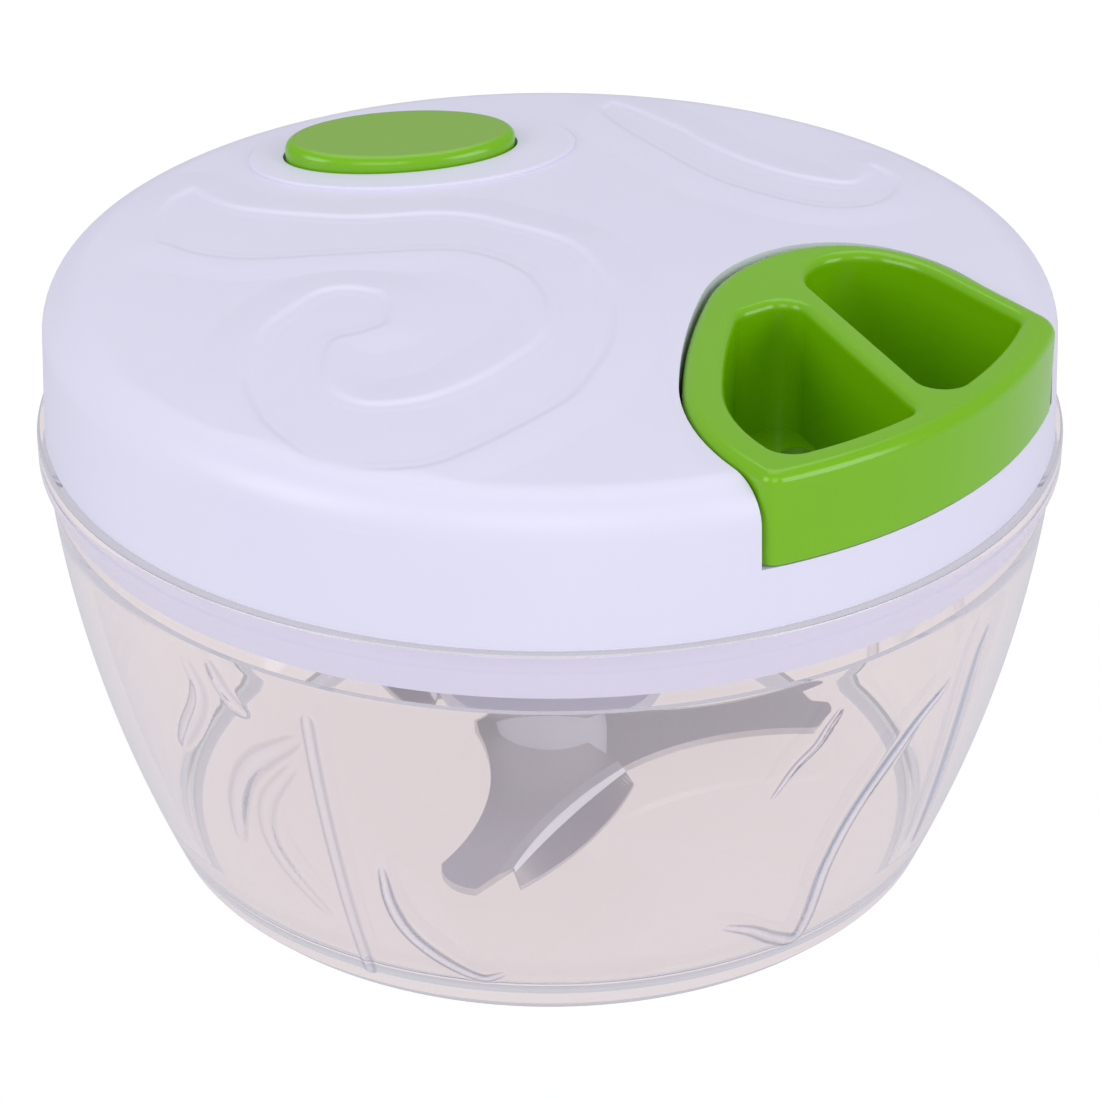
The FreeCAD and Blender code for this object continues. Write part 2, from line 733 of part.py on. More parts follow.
def make_spool():
    bore_low = f"{SPOOL_TOP} - axle_depth - rest_gap"
    axle_bore = "axle_radius + run_clearance"
    screw_top = f"{SOCKET_ROOF} + screw_length"
    body = turned("spool", [
        ("screw_radius", HUB_LOW),
        ("spool_hub_radius", HUB_LOW),
        ("spool_hub_radius", f"{GROOVE_LOW} - flange_thickness"),
        ("flange_radius", f"{GROOVE_LOW} - flange_thickness"),
        ("flange_radius", GROOVE_LOW),
        ("cord_core_radius", GROOVE_LOW),
        ("cord_core_radius", GROOVE_HIGH),
        ("flange_radius", GROOVE_HIGH),
        ("flange_radius", SPOOL_TOP),
        (axle_bore, SPOOL_TOP),
        (axle_bore, bore_low),
        ("0", bore_low),
        ("0", screw_top),
        ("screw_radius", screw_top),
    ])
    keep(body, "cord_spool")
    keep(tube("winding_ring", WINDING_RADIUS, "cord_core_radius",
              f"{CORD_LEVEL} - cord_radius * cord_turns", f"{CORD_LEVEL} + cord_radius * cord_turns"),
         "cord_winding")
    keep(tube("disc_solid", DISC_RADIUS, "spool_hub_radius", DISC_LOW, DISC_TOP), "brake_disc")


def make_drive_socket():
    body = turned("socket", [
        ("screw_radius", SOCKET_ROOF),
        ("hex_width / 2", SOCKET_ROOF),
        ("hex_width / 2", SOCKET_BOTTOM),
        ("socket_radius", SOCKET_BOTTOM),
        ("socket_radius", HUB_LOW),
        ("screw_radius", HUB_LOW),
    ])
    inside = prism(hexagon("hex_width + 2 * hex_clearance"), SOCKET_BOTTOM, SOCKET_ROOF)
    keep(cut("socket_solid", body, shaped("socket_hex", inside)), "drive_socket")
    head_low = f"{SOCKET_ROOF} - screw_head_height"
    keep(screw("socket_fixing", head_low), "socket_screw")


def make_axle():
    low = f"{SPOOL_TOP} - axle_depth"
    boss_top = f"{LID_TOP} - lid_wall / 2"
    keep(cylinder("axle_pin", "axle_radius", low, boss_top), "spool_axle")
    keep(tube("washer_ring", "axle_boss_radius", "axle_radius + run_clearance",
              f"{SPOOL_TOP} + rest_gap", f"{SPOOL_TOP} + rest_gap + washer_thickness"),
         "thrust_washer")


def crown_profile(drop):
    """Corners of the lid's outside, from its rim to its centre, moved in by drop."""
    side_low = f"{LID_RADIUS} - {drop}"
    side_high = f"{LID_RADIUS} - lid_draft - {drop}"
    turn = f"(lid_shoulder - {drop})"
    top = f"{LID_SHOULDER_TOP} - {drop}"
    crown = f"{LID_TOP} - {drop}"
    flat = f"({side_high} - {turn})"
    crown_radius = f"(({flat}^2 + lid_crown^2) / (2 * lid_crown))"
    half_turn = f"(asin({flat} / {crown_radius}) / 2)"
    return [
        (side_low, LID_BOTTOM),
        (side_high, f"{top} - {turn}", corner_middle(turn, flat, f"{top} - {turn}", 1, 1)),
        (flat, top, (f"{crown_radius} * sin({half_turn})",
                     f"{crown} - {crown_radius} * (1 - cos({half_turn}))")),
        ("0", crown),
        ("0", LID_BOTTOM),
    ]


def grip_wire(grow, reach):
    """Plan outline of the handle, grown by a margin and left straight out to X = reach."""
    margin = size(grow)
    tip = place(f"{NOSE_TIP} - ({grow})", "nose_y")
    upward = walk(tip, UP, margin, -1, (("brow_radius", "brow_turn"),
                                        ("shoulder_radius", f"{QUARTER} - brow_turn")))
    downward = walk(tip, DOWN, margin, 1, (("nose_radius", "nose_turn"), ("flank_radius", "flank_turn"),
                                           ("bend_radius", f"{QUARTER} - nose_turn - flank_turn")))
    far_side, near_side = upward[-1].lastVertex().Point, downward[-1].lastVertex().Point
    far_end, near_end = Vector(size(reach), far_side.y, 0), Vector(size(reach), near_side.y, 0)
    closing = [Part.LineSegment(one, two).toShape() for one, two in
               ((far_side, far_end), (far_end, near_end), (near_end, near_side))]
    return Part.Wire(Part.__sortEdges__(upward + closing + downward))


def walk(start, heading, margin, side, bends):
    """Arcs that follow on from each other without a kink, each with a radius and a turn."""
    edges = []
    for radius, turn in bends:
        reach = size(radius) + margin
        centre = start + Vector(-heading.y, heading.x, 0) * side * reach
        spoke = start - centre
        half = Rotation(Vector(0, 0, 1), side * size(turn) / 2)
        middle, end = half.multVec(spoke), half.multVec(half.multVec(spoke))
        edges.append(Part.Arc(start, centre + middle, centre + end).toShape())
        heading = half.multVec(half.multVec(heading))
        start = centre + end
    return edges


def oval(grow, stretch="0", shift="0"):
    """Plan outline of the button, grown by a margin, then drawn out and moved along its length."""
    ellipse = Part.Ellipse(place(shift, "0"), size(f"button_half_length + {grow} + {stretch}"),
                           size(f"button_half_width + {grow}"))
    wire = Part.Wire([ellipse.toShape()])
    wire.rotate(Vector(), Vector(0, 0, 1), size("button_tilt"))
    wire.translate(place(BUTTON_X, "button_y"))
    return wire


def make_lid_shell():
    outside = turned("lid_outside", crown_profile("0"))
    inside = turned("lid_inside", crown_profile("lid_wall"))
    liner_outline = grip_wire("pocket_gap + pocket_wall", FAR)
    liner = shaped("pocket_liner", prism(liner_outline, f"{POCKET_FLOOR} - pocket_wall", FAR))
    below = cylinder("pocket_floor_room", f"{PLUG_RADIUS} - skirt_gap - skirt_wall - rest_gap",
                     f"{POCKET_FLOOR} - pocket_wall", LID_BOTTOM)
    liner = common("pocket_wall_solid", liner, fuse("liner_room", outside, below))
    collar = shaped("button_collar", prism(oval("collar_width", "collar_stretch", "collar_shift"),
                                           f"{LID_TOP} - lid_wall", FAR))
    doc.recompute()
    raised = outside.Shape.copy()
    raised.translate(Vector(0, 0, size("collar_rise")))
    collar = common("button_collar_solid", collar, shaped("raised_outside", raised))
    collar = rounded("button_collar_soft", collar, "collar_edge",
                     lambda edge: edge.BoundBox.ZMin > size(LID_SHOULDER_TOP))
    cup = shaped("button_cup", prism(oval("button_gap + guide_floor"), GUIDE_LOW, FAR))
    cup = common("button_cup_solid", cup, outside)
    solids = [cut("lid_hollow", outside, inside), liner, collar, cup]
    room = grip_wire("pocket_gap", FAR)
    deep = shaped("pocket_foot", prism(room, POCKET_FLOOR, SILL_TOP))
    cuts = [
        shaped("pocket", prism(room, SILL_TOP, FAR)),
        common("pocket_behind_sill", deep, cylinder("sill_face", SILL_RADIUS, POCKET_FLOOR, SILL_TOP)),
        shaped("button_well", prism(oval("button_gap"), GUIDE_HIGH, FAR)),
        cylinder("stem_hole", "stem_radius + run_clearance", GUIDE_LOW, GUIDE_HIGH,
                 BUTTON_X, "button_y"),
    ]
    for index in range(FIXINGS):
        x, y = fixing_place(index)
        solids.append(cylinder(f"lid_boss_{index + 1}", "fixing_boss_radius", PLATE_TOP,
                               f"{LID_SHOULDER_TOP} - lid_wall / 2", x, y))
        cuts.append(cylinder(f"lid_boss_hole_{index + 1}", "screw_radius", PLATE_TOP,
                             f"{SKIRT_BOTTOM} + screw_head_height + screw_length", x, y))
    boss_low = f"{SPOOL_TOP} + rest_gap + washer_thickness"
    boss_top = f"{LID_TOP} - lid_wall / 2"
    solids.append(cylinder("axle_boss", "axle_boss_radius", boss_low, boss_top))
    cuts.append(cylinder("axle_seat", "axle_radius", boss_low, boss_top))
    cuts.append(along_x("eyelet_hole", "eyelet_radius", f"{pocket_x()} - 2 * pocket_wall", NOSE_X))
    keep(cut("lid_shell_solid", fuse("lid_solids", *solids), fuse("lid_cuts", *cuts)), "lid_shell")


def pocket_x(grow="pocket_gap"):
    """Where the pocket's nose wall crosses the cord's line."""
    return f"({NOSE_X} - sqrt((nose_radius + {grow})^2 - (nose_y - {CORD_LINE})^2))"


def along_x(name, radius, low, high):
    """A cylinder on the cord's line."""
    length = size(f"({high}) - ({low})")
    start = Vector(size(low), size(CORD_LINE), size(CORD_LEVEL))
    return shaped(name, Part.makeCylinder(size(radius), length, start, Vector(1, 0, 0)))


def make_grip():
    """The handle: its upper part fills the lid's rim, its foot drops into the pocket behind the sill.

    The foot leans back below the sill, so that the handle leaves the pocket up and out.
    """
    block_above = shaped("grip_block", prism(grip_wire("0", FAR), GRIP_SHELF, GRIP_TOP))
    rim = cylinder("grip_rim", GRIP_RIM, GRIP_SHELF, GRIP_TOP)
    upper = common("grip_plain", block_above, rim)
    upper = rounded("grip_near_corner", upper, "near_corner",
                    lambda edge: is_upright_corner(edge) and edge.BoundBox.YMax < 0)
    upper = rounded("grip_far_corner", upper, "far_corner",
                    lambda edge: is_upright_corner(edge) and edge.BoundBox.YMin > 0)
    upper = rounded("grip_rounded", upper, "grip_edge", lambda edge: lies_at(edge, GRIP_TOP))
    foot = common("grip_foot", shaped("foot_block", prism(grip_wire("0", FAR), GRIP_BOTTOM, GRIP_SHELF)),
                  shaped("foot_lean", leaning_disc()))
    places = {"near_drain": ("near_drain_x", "near_drain_y"), "far_drain": ("far_drain_x", "far_drain_y")}
    drains = [cylinder(name, "drain_radius", GRIP_BOTTOM, HOLE_LOW, x, y)
              for name, (x, y) in places.items()]
    holes = fuse("finger_holes", make_near_hole(), make_far_hole(), *drains)
    body = cut("grip_open", fuse("grip_whole", upper, foot), holes)
    body = rounded("grip_smooth", body, "hole_edge", is_hole_edge)
    tail = f"{pocket_x('0')} - cord_radius"
    seat_low = f"{pocket_x('0')} + ferrule_depth - slot_clearance"
    seat_high = f"{pocket_x('0')} + ferrule_depth + ferrule_length + slot_clearance"
    wide, narrow = "ferrule_radius + slot_clearance", "cord_radius + slot_clearance"
    seat = block("ferrule_seat", (seat_low, f"{CORD_LINE} - ({wide})", GRIP_BOTTOM),
                 (seat_high, f"{CORD_LINE} + {wide}", f"{CORD_LEVEL} + {wide}"))
    slot = block("cord_slot", (tail, f"{CORD_LINE} - ({narrow})", GRIP_BOTTOM),
                 (seat_high, f"{CORD_LINE} + {narrow}", f"{CORD_LEVEL} + {narrow}"))
    keep(cut("grip_solid", body, fuse("grip_slots", seat, slot)), "pull_handle")


def leaning_disc():
    """The room behind the sill, swept down and inwards against the handle's pull."""
    depth = size(f"{GRIP_SHELF} - {GRIP_BOTTOM}")
    top = Part.Face(Part.Wire([Part.makeCircle(size(f"{SILL_RADIUS} - rest_gap"))]))
    top.translate(Vector(0, 0, size(GRIP_SHELF)))
    return top.extrude(Vector(-depth, 0, -depth))


def make_near_hole():
    start = f"{NOSE_TIP} + near_hole_lead"
    inner = shaped("near_inner", prism(grip_wire("-near_wall", FAR), HOLE_LOW, GRIP_TOP))
    rim = cylinder("near_inner_rim", GRIP_INNER_RIM, HOLE_LOW, GRIP_TOP)
    beyond = block("near_start", (start, f"-{FAR}", HOLE_LOW), (FAR, FAR, GRIP_TOP))
    side = block("near_side", (f"-{FAR}", f"-{FAR}", HOLE_LOW),
                 (FAR, "rib_reach - rib_width / 2", GRIP_TOP))
    hole = common("near_hole_block", inner, rim, beyond, spun(side, "rib_lean"))
    return rounded("near_hole", hole, "hole_corner", is_upright_corner)


def make_far_hole():
    inner = shaped("far_inner", prism(grip_wire("-far_wall", FAR), HOLE_LOW, GRIP_TOP))
    rim = cylinder("far_inner_rim", GRIP_INNER_RIM, HOLE_LOW, GRIP_TOP)
    side = block("far_side", (f"-{FAR}", "rib_reach + rib_width / 2", HOLE_LOW),
                 (FAR, FAR, GRIP_TOP))
    hole = common("far_hole_block", inner, rim, spun(side, "rib_lean"))
    hole = rounded("far_hole_nose", hole, "hole_nose_corner",
                   lambda edge: is_upright_corner(edge) and edge.BoundBox.XMax < size(NOSE_X))
    return rounded("far_hole", hole, "hole_corner",
                   lambda edge: is_upright_corner(edge) and edge.BoundBox.XMin > size(NOSE_X))


def is_upright_corner(edge):
    """An upright edge where two faces of a plan outline meet at a corner."""
    box = edge.BoundBox
    if box.ZLength < TOUCH or box.XLength > TOUCH or box.YLength > TOUCH:
        return False
    reach = math.hypot(box.XMin, box.YMin)
    on_rim = any(abs(reach - size(rim)) < TOUCH for rim in (GRIP_RIM, GRIP_INNER_RIM))
    lean = math.radians(size("rib_lean"))
    across = box.YMin * math.cos(lean) - box.XMin * math.sin(lean)
    on_rib = any(abs(across - size(f"rib_reach {side} rib_width / 2")) < TOUCH for side in "+-")
    at_start = abs(box.XMin - size(f"{NOSE_TIP} + near_hole_lead")) < TOUCH
    return on_rim or on_rib or at_start


def is_hole_edge(edge):
    """An edge of a finger hole in the handle's top face."""
    if not lies_at(edge, GRIP_TOP):
        return False
    middle = edge.valueAt((edge.FirstParameter + edge.LastParameter) / 2)
    middle.z = 0
    inside = Part.Face(grip_wire("slot_clearance - far_wall", FAR))
    reach = size(f"{GRIP_INNER_RIM} + slot_clearance")
    return inside.isInside(middle, TOUCH, True) and middle.Length < reach


def make_cord():
    """The lead from the spool through the eyelet, the tail into the handle, and what holds them."""
    clear = f"sqrt(({WINDING_RADIUS} + rest_gap)^2 - ({CORD_LINE} - cord_radius)^2)"
    keep(along_x("lead_run", "cord_radius", clear, f"{pocket_x()} + rest_gap"), "cord_lead")
    ferrule_low = f"{pocket_x('0')} + ferrule_depth"
    keep(along_x("tail_run", "cord_radius", f"{pocket_x()} + 2 * rest_gap", ferrule_low), "cord_tail")
    keep(along_x("ferrule_solid", "ferrule_radius", ferrule_low, f"{ferrule_low} + ferrule_length"),
         "cord_ferrule")


def make_eyelet():
    """A guide in the pocket's wall, turned about the cord's line, with both its mouths flared."""
    bore, flare = size("eyelet_bore"), size("eyelet_flare")
    lip, outer = size("eyelet_lip_radius"), size("eyelet_radius")
    end = size(f"{pocket_x()} - eyelet_inset")
    shoulder = size(f"{EYELET_SEAT} - rest_gap / 2")
    low = shoulder - size("eyelet_lip")
    inset = flare * (1 - math.sqrt(0.5))
    edges = [
        Part.Arc(Vector(low, 0, bore + flare), Vector(low + inset, 0, bore + inset),
                 Vector(low + flare, 0, bore)).toShape(),
        Part.LineSegment(Vector(low + flare, 0, bore), Vector(end - flare, 0, bore)).toShape(),
        Part.Arc(Vector(end - flare, 0, bore), Vector(end - inset, 0, bore + inset),
                 Vector(end, 0, bore + flare)).toShape(),
    ]
    corners = [Vector(end, 0, bore + flare), Vector(end, 0, outer), Vector(shoulder, 0, outer),
               Vector(shoulder, 0, lip), Vector(low, 0, lip), Vector(low, 0, bore + flare)]
    edges += [Part.LineSegment(one, two).toShape() for one, two in zip(corners, corners[1:])]
    face = Part.Face(Part.Wire(edges))
    solid = face.revolve(Vector(), Vector(1, 0, 0), 360)
    seat = Placement(Vector(0, size(CORD_LINE), size(CORD_LEVEL)), Rotation())
    keep(shaped("eyelet_solid", solid, seat), "cord_eyelet")


def make_button():
    plate = shaped("button_plate", prism(oval("0"), BUTTON_UNDER, BUTTON_TOP))
    plate = rounded("button_rounded", plate, "button_edge",
                    lambda edge: lies_at(edge, BUTTON_TOP))
    stem = cylinder("button_stem", "stem_radius", f"{PAD_LOW} + pad_height / 2", BUTTON_UNDER,
                    BUTTON_X, "button_y")
    keep(fuse("button_solid", plate, stem), "press_button")
    pad = cylinder("pad_outside", "pad_radius", PAD_LOW, f"{PAD_LOW} + pad_height",
                   BUTTON_X, "button_y")
    seat = cylinder("pad_seat", "stem_radius", f"{PAD_LOW} + pad_height / 2",
                    f"{PAD_LOW} + pad_height", BUTTON_X, "button_y")
    keep(cut("pad_solid", pad, seat), "brake_pad")
    clip_high = f"{GUIDE_LOW} - rest_gap"
    keep(tube("clip_ring", "clip_radius", "stem_radius", f"{clip_high} - clip_thickness", clip_high,
              BUTTON_X, "button_y"), "button_clip")
    make_button_spring()


def make_button_spring():
    wire = size("wire_radius")
    low = size(f"{GUIDE_HIGH} + run_clearance") + wire
    high = size(f"{BUTTON_UNDER} - run_clearance") - wire
    pitch = (high - low) / size("coil_turns")
    helix = Part.makeLongHelix(pitch, high - low, size("coil_radius"))
    start = Vector(size("coil_radius"), 0, 0)
    heading = Vector(0, 1, pitch / (2 * math.pi * start.x))
    profile = Part.Wire([Part.Circle(start, heading, wire).toShape()])
    coil = Part.Wire(helix.Edges).makePipeShell([profile], True, True)
    seat = Placement(place(BUTTON_X, "button_y") + Vector(0, 0, low), Rotation())
    keep(shaped("button_coil", coil, seat), "button_spring")


def check_and_write():
    doc.recompute()
    for item in doc.Objects:
        bad = [word for word in item.State if word in ("Invalid", "Error")]
        if bad:
            raise RuntimeError(f"{item.Name} is {bad}")
    os.makedirs("parts", exist_ok=True)
    for piece in nodes:
        shape = piece.Shape
        if shape.isNull() or not shape.isValid() or not shape.Solids:
            raise RuntimeError(f"{piece.Label} has no valid shape")
    for piece in nodes:
        shape = piece.Shape
        shape.exportStep(f"parts/{piece.Label}.step")
        box = shape.BoundBox
        print(f"{piece.Label}: {len(shape.Solids)} solid(s), {shape.Volume:.1f} mm3,"
              f" z {box.ZMin:.2f} to {box.ZMax:.2f}")


make_bowl()
make_pin()
make_hub(make_blades())
make_lid_base()
make_base_screws()
make_base_bush()
make_spring_cup()
make_mainspring()
make_spool()
make_drive_socket()
make_axle()
make_lid_shell()
make_grip()
make_cord()
make_eyelet()
make_button()
check_and_write()
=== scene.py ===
import json
import math

import bpy
import numpy as np
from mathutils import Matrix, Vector


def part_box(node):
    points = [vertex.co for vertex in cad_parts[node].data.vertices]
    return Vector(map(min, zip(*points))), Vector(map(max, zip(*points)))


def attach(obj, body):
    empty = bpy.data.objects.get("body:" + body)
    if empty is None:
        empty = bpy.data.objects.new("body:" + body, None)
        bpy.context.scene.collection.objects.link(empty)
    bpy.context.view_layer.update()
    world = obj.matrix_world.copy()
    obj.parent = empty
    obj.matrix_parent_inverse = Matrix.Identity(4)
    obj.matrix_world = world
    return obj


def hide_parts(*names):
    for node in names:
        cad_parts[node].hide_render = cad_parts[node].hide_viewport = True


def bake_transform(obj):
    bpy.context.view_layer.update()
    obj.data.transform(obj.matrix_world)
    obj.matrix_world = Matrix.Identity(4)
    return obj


# Metres, in the frame's own axes: +Z is up, +X is the way the cord leaves the lid,
# and the origin is the centre of the bowl's flat bottom.
MM = 0.001

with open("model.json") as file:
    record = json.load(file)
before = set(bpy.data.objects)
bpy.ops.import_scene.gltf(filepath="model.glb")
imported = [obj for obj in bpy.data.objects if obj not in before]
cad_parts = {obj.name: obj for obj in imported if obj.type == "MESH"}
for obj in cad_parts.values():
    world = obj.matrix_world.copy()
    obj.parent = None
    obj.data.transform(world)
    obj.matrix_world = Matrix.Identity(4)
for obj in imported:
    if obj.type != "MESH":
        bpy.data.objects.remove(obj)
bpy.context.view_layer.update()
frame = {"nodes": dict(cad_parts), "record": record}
nodes = frame["nodes"]

# The photograph's viewpoint.
VIEW_TURN = math.radians(55)
VIEW_RISE = math.radians(28.88)
VIEW_TARGET = Vector((0, 0, 37.5 * MM))
VIEW_DISTANCE = 457.0 * MM
VIEW_LENS = 114.43

# The bowl, with the sizes of the solid that it stands for. Below CORNER_TOP its lower corner
# carries painted shade: a darker blue-grey tint in place of the dark line its clear edge shows.
# The rows are the counts of points up its wall, outside and inside.
BOWL_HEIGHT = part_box("bowl")[1].z
LIP_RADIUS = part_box("bowl")[1].x
LIP_HEIGHT = 3.8 * MM
LIP_EDGE = 0.45 * MM
WALL_TOP_RADIUS = 64.1 * MM
BASE_RADIUS = 50.3 * MM
BASE_CORNER = 2.0 * MM
CORNER_TOP = 2.0 * MM
WALL_BULGE = 2.5 * MM
WALL = 2.4 * MM
FLOOR = 2.8 * MM
FLOOR_CORNER = 6.0 * MM
PLUG_RADIUS = 62.6 * MM
PLUG_DEPTH = 8.7 * MM
BOSS_RADIUS = 4.5 * MM
BOSS_TOP = 3.9 * MM
PIN_RADIUS = 2.0 * MM
PIN_SEAT = 1.4 * MM
BOWL_SIDES = 700
OUTSIDE_ROWS = 112
INSIDE_ROWS = 26
SHARP_ANGLE = 40
NEARLY_NOTHING = 1e-6

# The lid's outside. Its height is worked out over LID_SHOULDER_SHARE of the shoulder's width.
LID_SHOULDER_TOP = 78.0 * MM
LID_CROWN = 1.5 * MM
LID_SHOULDER = 5.5 * MM
LID_FLAT_RADIUS = 57.95 * MM
LID_SHOULDER_SHARE = 0.98


def mesh_piece(name, points, faces):
    """A smooth-shaded piece, linked into the scene."""
    mesh = bpy.data.meshes.new(name)
    mesh.from_pydata([tuple(point) for point in points], [], [tuple(face) for face in faces])
    mesh.validate()
    mesh.polygons.foreach_set("use_smooth", [True] * len(mesh.polygons))
    piece = bpy.data.objects.new(name, mesh)
    bpy.context.scene.collection.objects.link(piece)
    return piece


def dress(piece, body, material):
    """Give a piece its material and the body that carries it."""
    piece.data.materials.clear()
    piece.data.materials.append(material)
    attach(piece, body)


def arc(centre, radius, first, last, steps):
    """Points of an arc in the (radius, height) plane, angles in degrees."""
    angles = np.radians(np.linspace(first, last, steps))
    return [(centre[0] + radius * math.cos(a), centre[1] + radius * math.sin(a)) for a in angles]


def line(start, end, steps):
    """Points of a straight stretch, both ends among them."""
    return [tuple(np.array(start) + (np.array(end) - np.array(start)) * share)
            for share in np.linspace(0, 1, steps)]


def join(*stretches):
    """One outline from stretches that meet end to end."""
    outline = []
    for stretch in stretches:
        for point in stretch:
            if not outline or math.dist(point, outline[-1]) > 1e-7:
                outline.append(point)
    return outline


def smooth_line(points, per_span=8):
    """A smooth open line through the points, as a Catmull-Rom spline."""
    knots = np.array(points, float)
    padded = np.vstack([2 * knots[0] - knots[1], knots, 2 * knots[-1] - knots[-2]])
    made = []
    for index in range(len(knots) - 1):
        a, b, c, d = padded[index:index + 4]
        for share in np.linspace(0, 1, per_span, endpoint=False):
            made.append(0.5 * (2 * b + (c - a) * share + (2 * a - 5 * b + 4 * c - d) * share ** 2
                               + (3 * b - a - 3 * c + d) * share ** 3))
    made.append(knots[-1])
    return np.array(made)


def nearest(points, route):
    """Each point's distance to a polyline, and how far along the line that is, from 0 to 1."""
    best = np.full(len(points), np.inf)
    along = np.zeros(len(points))
    lengths = np.linalg.norm(np.diff(route, axis=0), axis=1)
    total = lengths.sum()
    done = 0.0
    for start, end, length in zip(route[:-1], route[1:], lengths):
        step = (end - start) / max(length, 1e-9)
        share = np.clip((points - start) @ step, 0, length)
        gap = np.linalg.norm(points - start - share[:, None] * step, axis=1)
        closer = gap < best
        best[closer] = gap[closer]
        along[closer] = (done + share[closer]) / total
        done += length
    return best, along


def eased(share):
    """A share held between 0 and 1, with a soft start and a soft stop."""
    share = np.clip(share, 0, 1)
    return share * share * (3 - 2 * share)


# Looks. A noise field keeps mostly within NOISE_RANGE. The scales are in features per metre, and
# the drifts are how far a roughness wanders below and above its own value. The see-through tones
# are what each face of the bowl lets pass: DEEP_TONE to rays with more bounces than DEEP_RAY,
# LAMP_TONE to lamp light and diffuse rays, and STANDING_TONE through its underside.

NOISE_RANGE = (0.15, 0.85)
TONE_SCALE = 22
GLOSS_SCALE = 160
GLOSS_DRIFT = (-0.04, 0.05)
BRUSH_SCALE = 900
BRUSH_DETAIL = 4
BRUSH_DRIFT = (-0.05, 0.06)
BRUSH_DARKER = 0.9
HAZE_SCALE = 40
HAZE_ROUGHNESS = 0.035
MOULD_SCALE = 2600
MOULD_DETAIL = 3
BOWL_IOR = 1.45
DEEP_RAY = 3.5
DEEP_TONE = (0.89, 0.89, 0.93, 1.0)
LAMP_TONE = (0.96, 0.95, 0.955, 1.0)
STANDING_TONE = (0.97, 0.965, 0.97, 1.0)
# BUTTON_TOP is the range of upward normal over which the button turns to its painted sheen colour and
# rougher gloss.
BUTTON_TOP = (0.9, 0.99)
BUTTON_ROUGHNESS = (0.2, 0.46)
BRAID_LEAN = 38
BRAID_SCALE = 420


def new_material(name):
    """A material whose only shader is joined to its output, with its tree and those two nodes."""
    material = bpy.data.materials.new(name)
    material.use_nodes = True
    tree = material.node_tree
    tree.nodes.clear()
    out = tree.nodes.new("ShaderNodeOutputMaterial")
    shader = tree.nodes.new("ShaderNodeBsdfPrincipled")
    tree.links.new(shader.outputs["BSDF"], out.inputs["Surface"])
    return material, tree, shader, out


def linear(red, green, blue):
    """A colour that is written as a screen shows it, from 0 to 255."""
    made = []
    for value in (red, green, blue):
        share = value / 255
        made.append(share / 12.92 if share <= 0.04045 else ((share + 0.055) / 1.055) ** 2.4)
    return (*made, 1.0)


def noise(tree, scale, detail=2.0, stretch=(1, 1, 1)):
    """A noise field in the piece's own place, with scale in features per metre."""
    place = tree.nodes.new("ShaderNodeTexCoord")
    turn = tree.nodes.new("ShaderNodeMapping")
    turn.inputs["Scale"].default_value = stretch
    field = tree.nodes.new("ShaderNodeTexNoise")
    field.inputs["Scale"].default_value = scale
    field.inputs["Detail"].default_value = detail
    tree.links.new(place.outputs["Object"], turn.inputs["Vector"])
    tree.links.new(turn.outputs["Vector"], field.inputs["Vector"])
    return field.outputs["Fac"]


def spread(tree, field, low, high):
    """The field drawn out over a range of plain values."""
    span = tree.nodes.new("ShaderNodeMapRange")
    span.clamp = False
    span.inputs["From Min"].default_value = NOISE_RANGE[0]
    span.inputs["From Max"].default_value = NOISE_RANGE[1]
    span.inputs["To Min"].default_value = low
    span.inputs["To Max"].default_value = high
    tree.links.new(field, span.inputs["Value"])
    return span.outputs["Result"]


def mottle(tree, shader, field, one, two):
    """Colour that drifts between two near tones."""
    mix = tree.nodes.new("ShaderNodeMix")
    mix.data_type = "RGBA"
    mix.inputs["A"].default_value = one
    mix.inputs["B"].default_value = two
    tree.links.new(field, mix.inputs["Factor"])
    tree.links.new(mix.outputs["Result"], shader.inputs["Base Color"])


def grain(tree, shader, field, depth):
    """A fine relief of the given depth, as bump."""
    bump = tree.nodes.new("ShaderNodeBump")
    bump.inputs["Strength"].default_value = 1.0
    bump.inputs["Distance"].default_value = depth
    tree.links.new(field, bump.inputs["Height"])
    tree.links.new(bump.outputs["Normal"], shader.inputs["Normal"])


def moulded_plastic(name, one, two, roughness, grain_depth):
    """Injection-moulded plastic: a slow drift of tone, uneven gloss and a fine moulded skin."""
    material, tree, shader, _ = new_material(name)
    mottle(tree, shader, spread(tree, noise(tree, TONE_SCALE), 0, 1), one, two)
    gloss = spread(tree, noise(tree, GLOSS_SCALE), roughness + GLOSS_DRIFT[0], roughness + GLOSS_DRIFT[1])
    tree.links.new(gloss, shader.inputs["Roughness"])
    grain(tree, shader, noise(tree, MOULD_SCALE, MOULD_DETAIL), grain_depth)
    return material


def brushed_metal(name, colour, roughness, stretch, grain_depth, metallic=1.0):
    """Metal with fine marks along one way, in its tone, its gloss and its relief."""
    material, tree, shader, _ = new_material(name)
    field = noise(tree, BRUSH_SCALE, BRUSH_DETAIL, stretch)
    darker = tuple(BRUSH_DARKER * value for value in colour[:3]) + (1.0,)
    mottle(tree, shader, spread(tree, field, 0, 1), darker, colour)
    shader.inputs["Metallic"].default_value = metallic
    gloss = spread(tree, field, roughness + BRUSH_DRIFT[0], roughness + BRUSH_DRIFT[1])
    tree.links.new(gloss, shader.inputs["Roughness"])
    grain(tree, shader, field, grain_depth)
    return material


def larger(tree, one, two):
    """The larger of two values."""
    node = tree.nodes.new("ShaderNodeMath")
    node.operation = "MAXIMUM"
    tree.links.new(one, node.inputs[0])
    tree.links.new(two, node.inputs[1])
    return node.outputs["Value"]


def see_through(tree, colour):
    node = tree.nodes.new("ShaderNodeBsdfTransparent")
    node.inputs["Color"].default_value = colour
    return node.outputs["BSDF"]


def blend_shaders(tree, share, one, two):
    """Shader one, with a share of shader two."""
    mix = tree.nodes.new("ShaderNodeMixShader")
    tree.links.new(share, mix.inputs["Fac"])
    tree.links.new(one, mix.inputs[1])
    tree.links.new(two, mix.inputs[2])
    return mix.outputs["Shader"]


